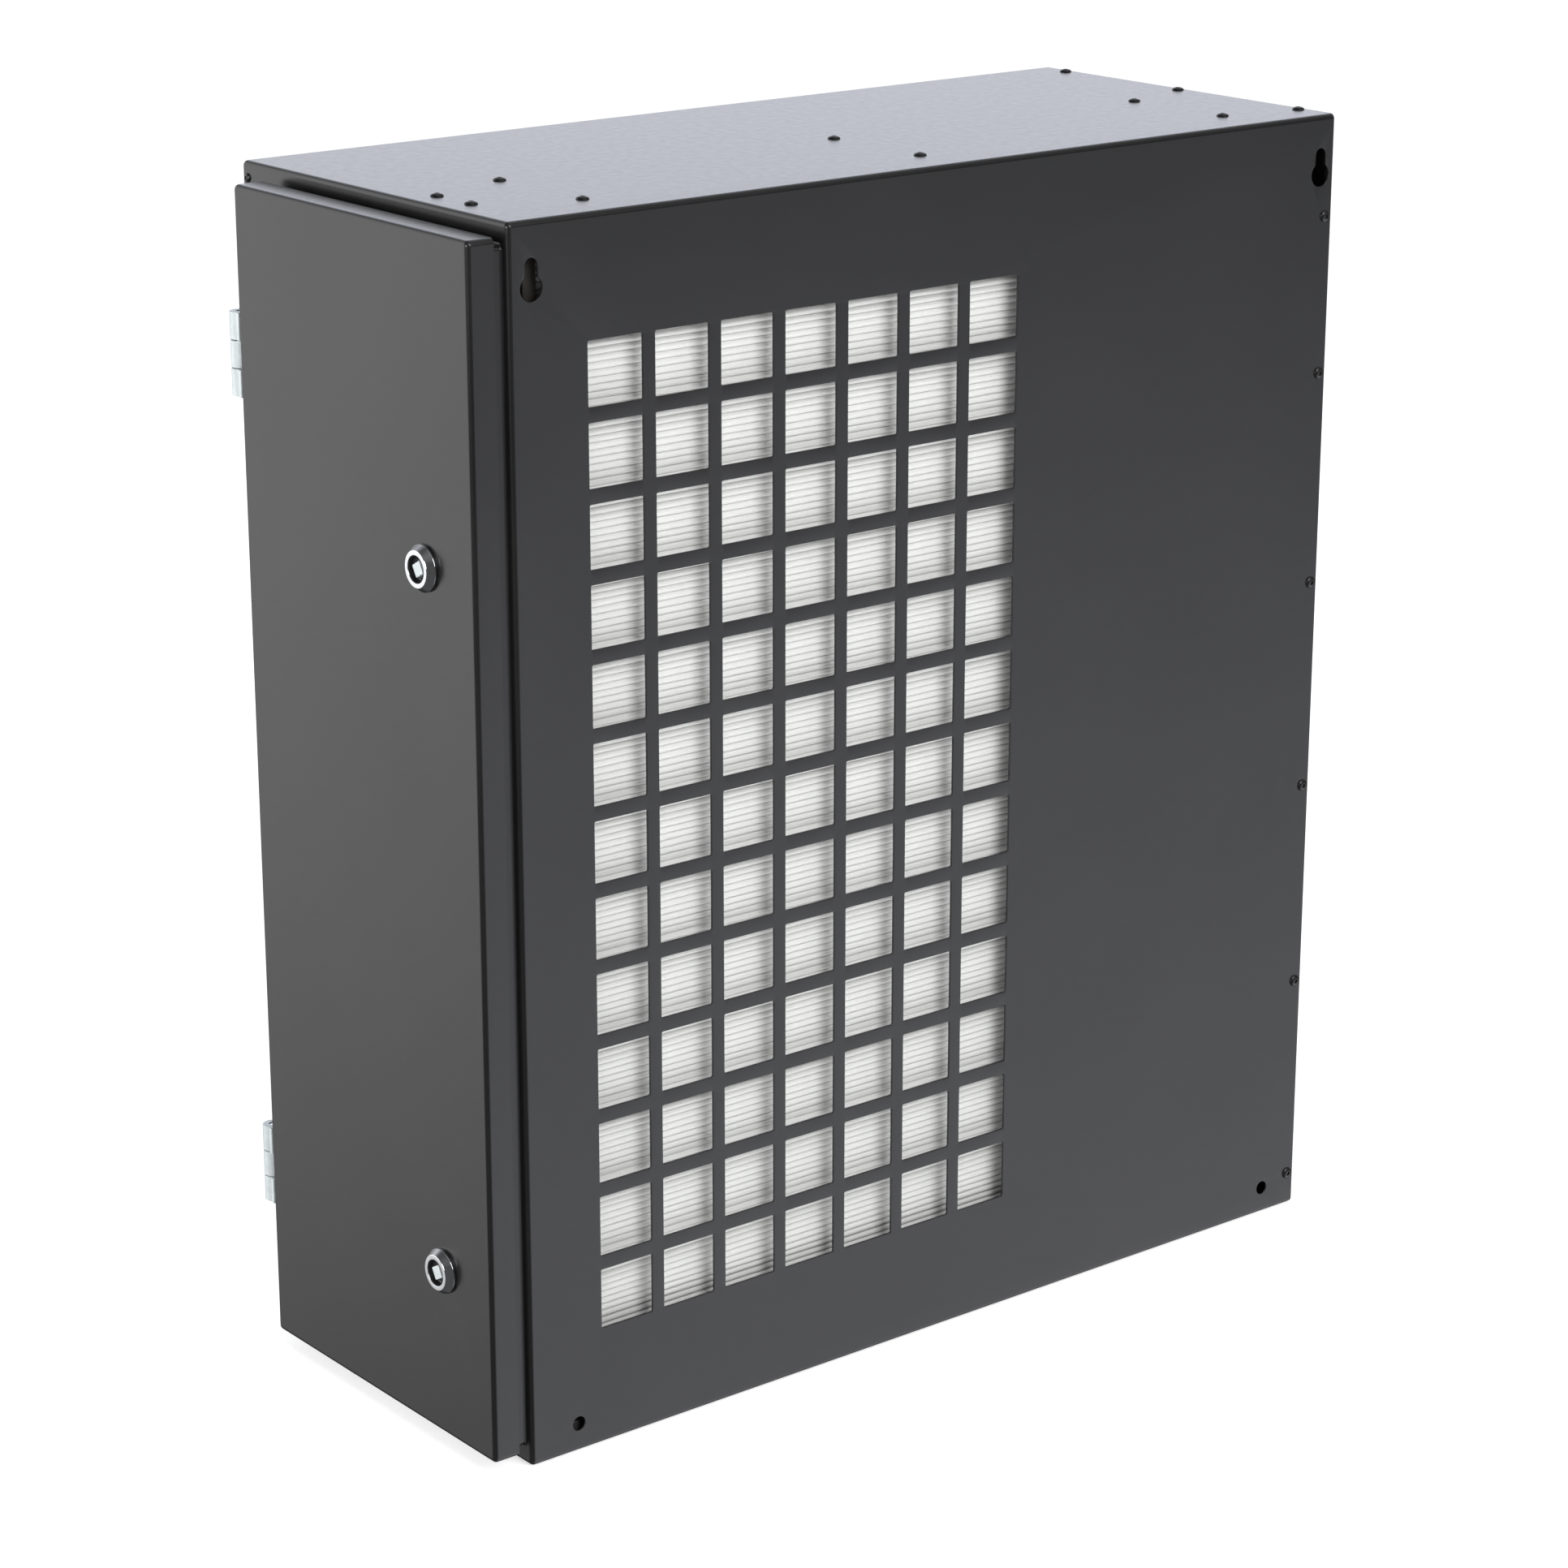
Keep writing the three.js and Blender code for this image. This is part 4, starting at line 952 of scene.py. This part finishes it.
# ---- Right end ----
def slab(span, z, half, radius=1, steps=4, edge=0.3):
    """A flat piece across the controls' column, this far either side of its middle."""
    outline = rounded(about(CONTROL_Y, half[0]), about(z, half[1]), radius, steps)
    return Solid().plate(X, span, outline, edge=edge)


def hollow(name, flange, shell, space):
    """A flange and the shell behind it, with a space sunk in them."""
    return union(name, union(name, flange, shell), space, operation="DIFFERENCE")


def pan_screw(face, y, z, radius):
    """A pan-head screw with a cross recess, standing on an X face."""
    head = [(0, 2), (radius * 0.55, 1.9), (radius * 0.9, 1.3), (radius, 0.5), (radius, 0)]
    shank = [(radius * 0.5, 0), (radius * 0.5, -2.5), (0, -2.5)]
    screw = Solid().turned(X, y, z, [(r, face + along) for r, along in head + shank], 32)
    wide, slim = radius * 0.55, radius * 0.16
    cross = []
    for half_y, half_z in ((wide, slim), (slim, wide)):
        outline = rounded(about(y, half_y), about(z, half_z), 0.1, 2)
        cross.append(Solid().plate(X, (face + 0.8, face + 3), outline, edge=0.05))
    return union("screw", screw, *cross, operation="DIFFERENCE")


def spigots():
    tip = drawn("upper_inlet_spigot")[0][1]
    bore, outside = SPIGOT["bore"], SPIGOT["outside"]
    bead = [(outside, tip - 9.4), (SPIGOT["bead"], tip - 8), (outside, tip - 6.6)]
    line = softened([(bore, SEAT), (outside, SEAT), *bead, (outside, tip), (bore, tip)], 0.4, 3)
    for level, z in SPIGOTS.items():
        tube = Solid().turned(X, SPIGOT_Y, z, line, 96)
        piece(tube, f"fine_{level}_spigot", "galvanised_sheet", "cabinet", f"{level}_inlet_spigot")
        ring, hole = circle(SPIGOT_Y, z, SPIGOT["flange"], 96), circle(SPIGOT_Y, z, outside + 0.3, 96)
        flange = Solid().plate(X, (SEAT, SEAT + SHEET), ring, [hole])
        piece(flange, f"fine_{level}_flange", "galvanised_sheet", "cabinet", f"{level}_spigot_flange")
        for i in range(4):
            turn = math.radians(45 + 90 * i)
            y, up = SPIGOT_Y + SPIGOT["screws"] * math.cos(turn), z + SPIGOT["screws"] * math.sin(turn)
            screw = pan_screw(SEAT + SHEET, y, up, 2.8)
            piece(screw, f"{level}_flange_screw_{i + 1}", "zinc_casting", "cabinet")


def mains_inlet_piece():
    flange = slab((SEAT, SEAT + 3), SOCKET_Z, SOCKET["flange"], 4, 8, edge=0.6)
    shell = slab((SEAT - 24, SEAT + 1), SOCKET_Z, SOCKET["shell"])
    half_y, half_z = SOCKET["recess"]
    turns = ((-1, -1), (1, -1), (1, 1), (-1, 1))
    corners = [(CONTROL_Y + a * half_y, SOCKET_Z + b * half_z) for a, b in turns]
    recess = Solid().plate(X, (SEAT - 18, SEAT + 5), polygon(corners, 1.2))
    body = hollow("inlet", flange, shell, recess)
    piece(body, "fine_mains_inlet", "plastic", "cabinet", "mains_inlet")
    for name, y, z in (("earth", 2, 0), ("live", -2, 7), ("neutral", -2, -7)):
        outline = rounded(about(CONTROL_Y + y, 2), about(SOCKET_Z + z, 1), 0.4)
        blade = Solid().plate(X, (SEAT - 18.5, SEAT - 4), outline, edge=0.4)
        piece(blade, f"{name}_pin", "chrome", "cabinet")
    for i, z in enumerate(about(SOCKET_Z, SOCKET["screws"])):
        screw = pan_screw(SEAT + 3, CONTROL_Y, z, 2.6)
        piece(screw, f"inlet_screw_{i + 1}", "zinc_casting", "cabinet")


def rocker_switch():
    bezel = slab((SEAT, SEAT + 2), ROCKER_Z, ROCKER["bezel"], 2, 6, edge=0.6)
    shell = slab((SEAT - 20, SEAT + 1), ROCKER_Z, ROCKER["shell"])
    well = slab((SEAT - 12, SEAT + 5), ROCKER_Z, ROCKER["well"])
    body = hollow("housing", bezel, shell, well)
    piece(body, "fine_rocker_housing", "plastic", "cabinet", "rocker_housing")

    half, pivot = ROCKER["half"], SEAT - 3
    face = [*zip((5, 4.1, 3.6, 3.4, 3.6, 4.1, 5), (-half, -8, -4, 0, 4, 8, half))]
    corners = [(-4, -3), (3, -half), *face, (3, half), (-4, 3)]
    cap = Solid().plate(Y, about(0, 6.2), polygon(corners, 0.5, 2), edge=0.5)
    tilt = Matrix.Rotation(math.radians(ROCKER["tilt"]), 4, "Y")
    cap.moved(Matrix.Translation((pivot, CONTROL_Y, ROCKER_Z)) @ tilt)
    piece(cap, "fine_power_rocker", "plastic", "rocker", "power_rocker")


def fluted_cap(base, top):
    """The knob's grip, standing on the X axis: a rounded cap with flutes that fade at its ends."""
    solid = Solid()
    steps = 96
    radius = KNOB["radius"]
    skirt = [(radius, base, 0), (radius, base + 0.4, 0.3), (radius - 0.1, base + 6, 1)]
    crown = [(radius - 0.6, top - 2.2, 1), (radius - 1.4, top - 0.6, 0.4), (radius - 2.4, top, 0)]
    rings = []
    for reach, along, flute in skirt + crown:
        line = []
        for i in range(steps):
            turn = 2 * math.pi * i / steps
            dip = 0.45 * flute * (0.5 + 0.5 * math.cos(turn * KNOB["flutes"])) ** 2
            line.append(((reach - dip) * math.cos(turn), (reach - dip) * math.sin(turn)))
        rings.append(solid.ring(X, along, line))
    solid.sweep(rings)
    for ring in (rings[0], rings[-1]):
        solid.fill(X, ring)
    return solid


def speed_control():
    """The knob with its pale pointer line, and the potentiometer with its nut behind it."""
    low, high = drawn("speed_knob")[0]
    base = END_FACE + 3.5
    top = base + KNOB["height"]
    turn = Matrix.Rotation(math.radians(KNOB["at"]), 4, "X")
    place = Matrix.Translation((0, CONTROL_Y, KNOB_Z)) @ turn
    spindle = rod(X, 0, 0, KNOB["spindle"], (low, base + 2), 24)
    knob = union("knob", fluted_cap(base, top).moved(place), spindle.moved(place))
    piece(knob, "fine_speed_knob", "plastic", "knob", "speed_knob")
    pointer = Solid().plate(X, (top - 1, high), rounded(about(0, 0.9), (1.5, 8.6), 0.5), edge=0.2)
    piece(pointer.moved(place), "knob_pointer", "filter_paper", "knob")

    inside = END_FACE - SHEET - GAP
    can = rod(X, CONTROL_Y, KNOB_Z, KNOB["can"], (inside - 12, inside), 48, 0.6, 3)
    bush = rod(X, CONTROL_Y, KNOB_Z, KNOB["bush"], (inside - 5, END_FACE + 3))
    nut = Solid().plate(X, (SEAT, END_FACE + 2.3), circle(CONTROL_Y, KNOB_Z, 7, 6))
    bore = rod(X, CONTROL_Y, KNOB_Z, KNOB["bush"] - 0.5, (inside - 6, END_FACE + 5))
    control = union("potentiometer", can, bush, nut)
    control = union("potentiometer", control, bore, operation="DIFFERENCE")
    piece(control, "fine_potentiometer", "zinc_casting", "cabinet", "speed_potentiometer")


# ---- CAD nodes that keep their own shape ----
KEPT = {
    "carbon_bed": "carbon", "inlet_ring": "galvanised_sheet", "impeller": "plastic", "fan_shaft": "chrome",
    "fan_motor": "dark_steel", "motor_bracket": "galvanised_sheet", "fan_speed_controller": "dark_steel",
}


def kept_nodes():
    for node, slot in KEPT.items():
        thing = frame["nodes"][node]
        thing.data.materials.clear()
        thing.data.materials.append(MATERIALS[slot])


# ---- Studio ----
AZIMUTH, ELEVATION = math.radians(-38.51), math.radians(17.68)
AIM = Vector((-0.180, -0.1914, 0.4138))
DISTANCE = 2.4
LENS = 95


def camera():
    level = math.cos(ELEVATION)
    back = Vector((math.sin(AZIMUTH) * level, -math.cos(AZIMUTH) * level, math.sin(ELEVATION)))
    data = bpy.data.cameras.new("camera")
    data.lens = LENS
    data.sensor_width = 36
    data.clip_end = 50
    thing = bpy.data.objects.new("camera", data)
    thing.location = AIM + back * DISTANCE
    thing.rotation_euler = (-back).to_track_quat("-Z", "Y").to_euler()
    bpy.context.scene.collection.objects.link(thing)
    bpy.context.scene.camera = thing


def softbox(name, place, towards, size, power, colour):
    data = bpy.data.lights.new(name, "AREA")
    data.shape = "RECTANGLE"
    data.size, data.size_y = size
    data.energy = power
    data.color = colour
    thing = bpy.data.objects.new(name, data)
    thing.location = place
    thing.rotation_euler = (Vector(towards) - Vector(place)).to_track_quat("-Z", "Y").to_euler()
    thing.visible_camera = False
    bpy.context.scene.collection.objects.link(thing)


# Each glow of the sky, as (direction, widest angle, strength, colour).
GLOWS = (
    ((-0.59, 0.75, 0.1), 44, 1.6, (1, 1, 1)),
    ((0.59, -0.75, -0.85), 44, 1.6, (0.96, 0.975, 1.03)),
    ((0.5, 0.6, 0.5), 60, 0.65, (0.9, 0.93, 1)),
    ((0.2, -0.5, 0.9), 60, 0.3, (1, 1, 1)),
)
AMBIENT = 0.1
# Each soft light, as (name, place, what it points at, size, watts, colour).
SOFTBOXES = (
    ("back softbox", (1.75, 2.2, 1.6), (0.1, 0, 0.6), (3.2, 1.5), 15.5, (0.86, 0.89, 1)),
    ("key softbox", (0.0, -2.9, 2.4), (0, 0, 0.4), (2.2, 2.2), 57, (1, 1, 1)),
    ("left softbox", (-2.9, -0.7, 1.2), (-0.2, 0, 0.4), (1.2, 1.2), 36, (1, 1, 1)),
)


def sky():
    """A white background, and soft glows that light the object from its sides."""
    world = bpy.data.worlds.new("studio")
    world.use_nodes = True
    nodes, links = world.node_tree.nodes, world.node_tree.links
    place = nodes.new("ShaderNodeTexCoord").outputs["Generated"]
    total = None
    for direction, angle, strength, colour in GLOWS:
        dot = nodes.new("ShaderNodeVectorMath")
        dot.operation = "DOT_PRODUCT"
        dot.inputs[1].default_value = Vector(direction).normalized()
        links.new(place, dot.inputs[0])
        fade = nodes.new("ShaderNodeMapRange")
        fade.interpolation_type = "SMOOTHERSTEP"
        fade.inputs["From Min"].default_value = math.cos(math.radians(angle))
        fade.inputs["To Max"].default_value = strength
        links.new(dot.outputs["Value"], fade.inputs["Value"])
        tint = nodes.new("ShaderNodeVectorMath")
        tint.operation = "MULTIPLY_ADD"
        tint.inputs[1].default_value = colour
        tint.inputs[2].default_value = (AMBIENT,) * 3
        links.new(fade.outputs["Result"], tint.inputs[0])
        if total:
            links.new(total, tint.inputs[2])
        total = tint.outputs["Vector"]
    glow = nodes["Background"]
    links.new(total, glow.inputs["Color"])
    plain = nodes.new("ShaderNodeBackground")
    plain.inputs["Color"].default_value = (1, 1, 1, 1)
    plain.inputs["Strength"].default_value = 1.1
    choice = nodes.new("ShaderNodeMixShader")
    links.new(nodes.new("ShaderNodeLightPath").outputs["Is Camera Ray"], choice.inputs["Fac"])
    links.new(glow.outputs["Background"], choice.inputs[1])
    links.new(plain.outputs["Background"], choice.inputs[2])
    links.new(choice.outputs["Shader"], nodes["World Output"].inputs["Surface"])
    bpy.context.scene.world = world


def studio():
    sky()
    for box in SOFTBOXES:
        softbox(*box)
    floor_sheet()
    bpy.context.scene.view_settings.view_transform = "Standard"


def floor_sheet():
    floor = bmesh.new()
    bmesh.ops.create_grid(floor, x_segments=8, y_segments=8, size=12)
    data = bpy.data.meshes.new("floor")
    floor.to_mesh(data)
    floor.free()
    thing = bpy.data.objects.new("floor", data)
    thing.location.z = -0.0005
    thing.visible_glossy = False
    pale = Finish("pale_floor", Roughness=0.9, Emission_Strength=0.62)
    pale.shader.inputs["Emission Color"].default_value = (1, 1, 1, 1)
    pale.drive("Base Color", pale.ramp(pale.noise(2, 2), (0.9, 0.9, 0.9), (0.92, 0.92, 0.92)))
    data.materials.append(pale.material)
    bpy.context.scene.collection.objects.link(thing)


camera()
studio()
cabinet_skin()
end_skin()
door_skin()
rivets()
door_frame_stud()
upper_rails()
frame_bracket()
inner_sheets()
filter_casings()
pleated_paper()
prefilter()
seals()
hinges()
locks()
spigots()
mains_inlet_piece()
rocker_switch()
speed_control()
kept_nodes()
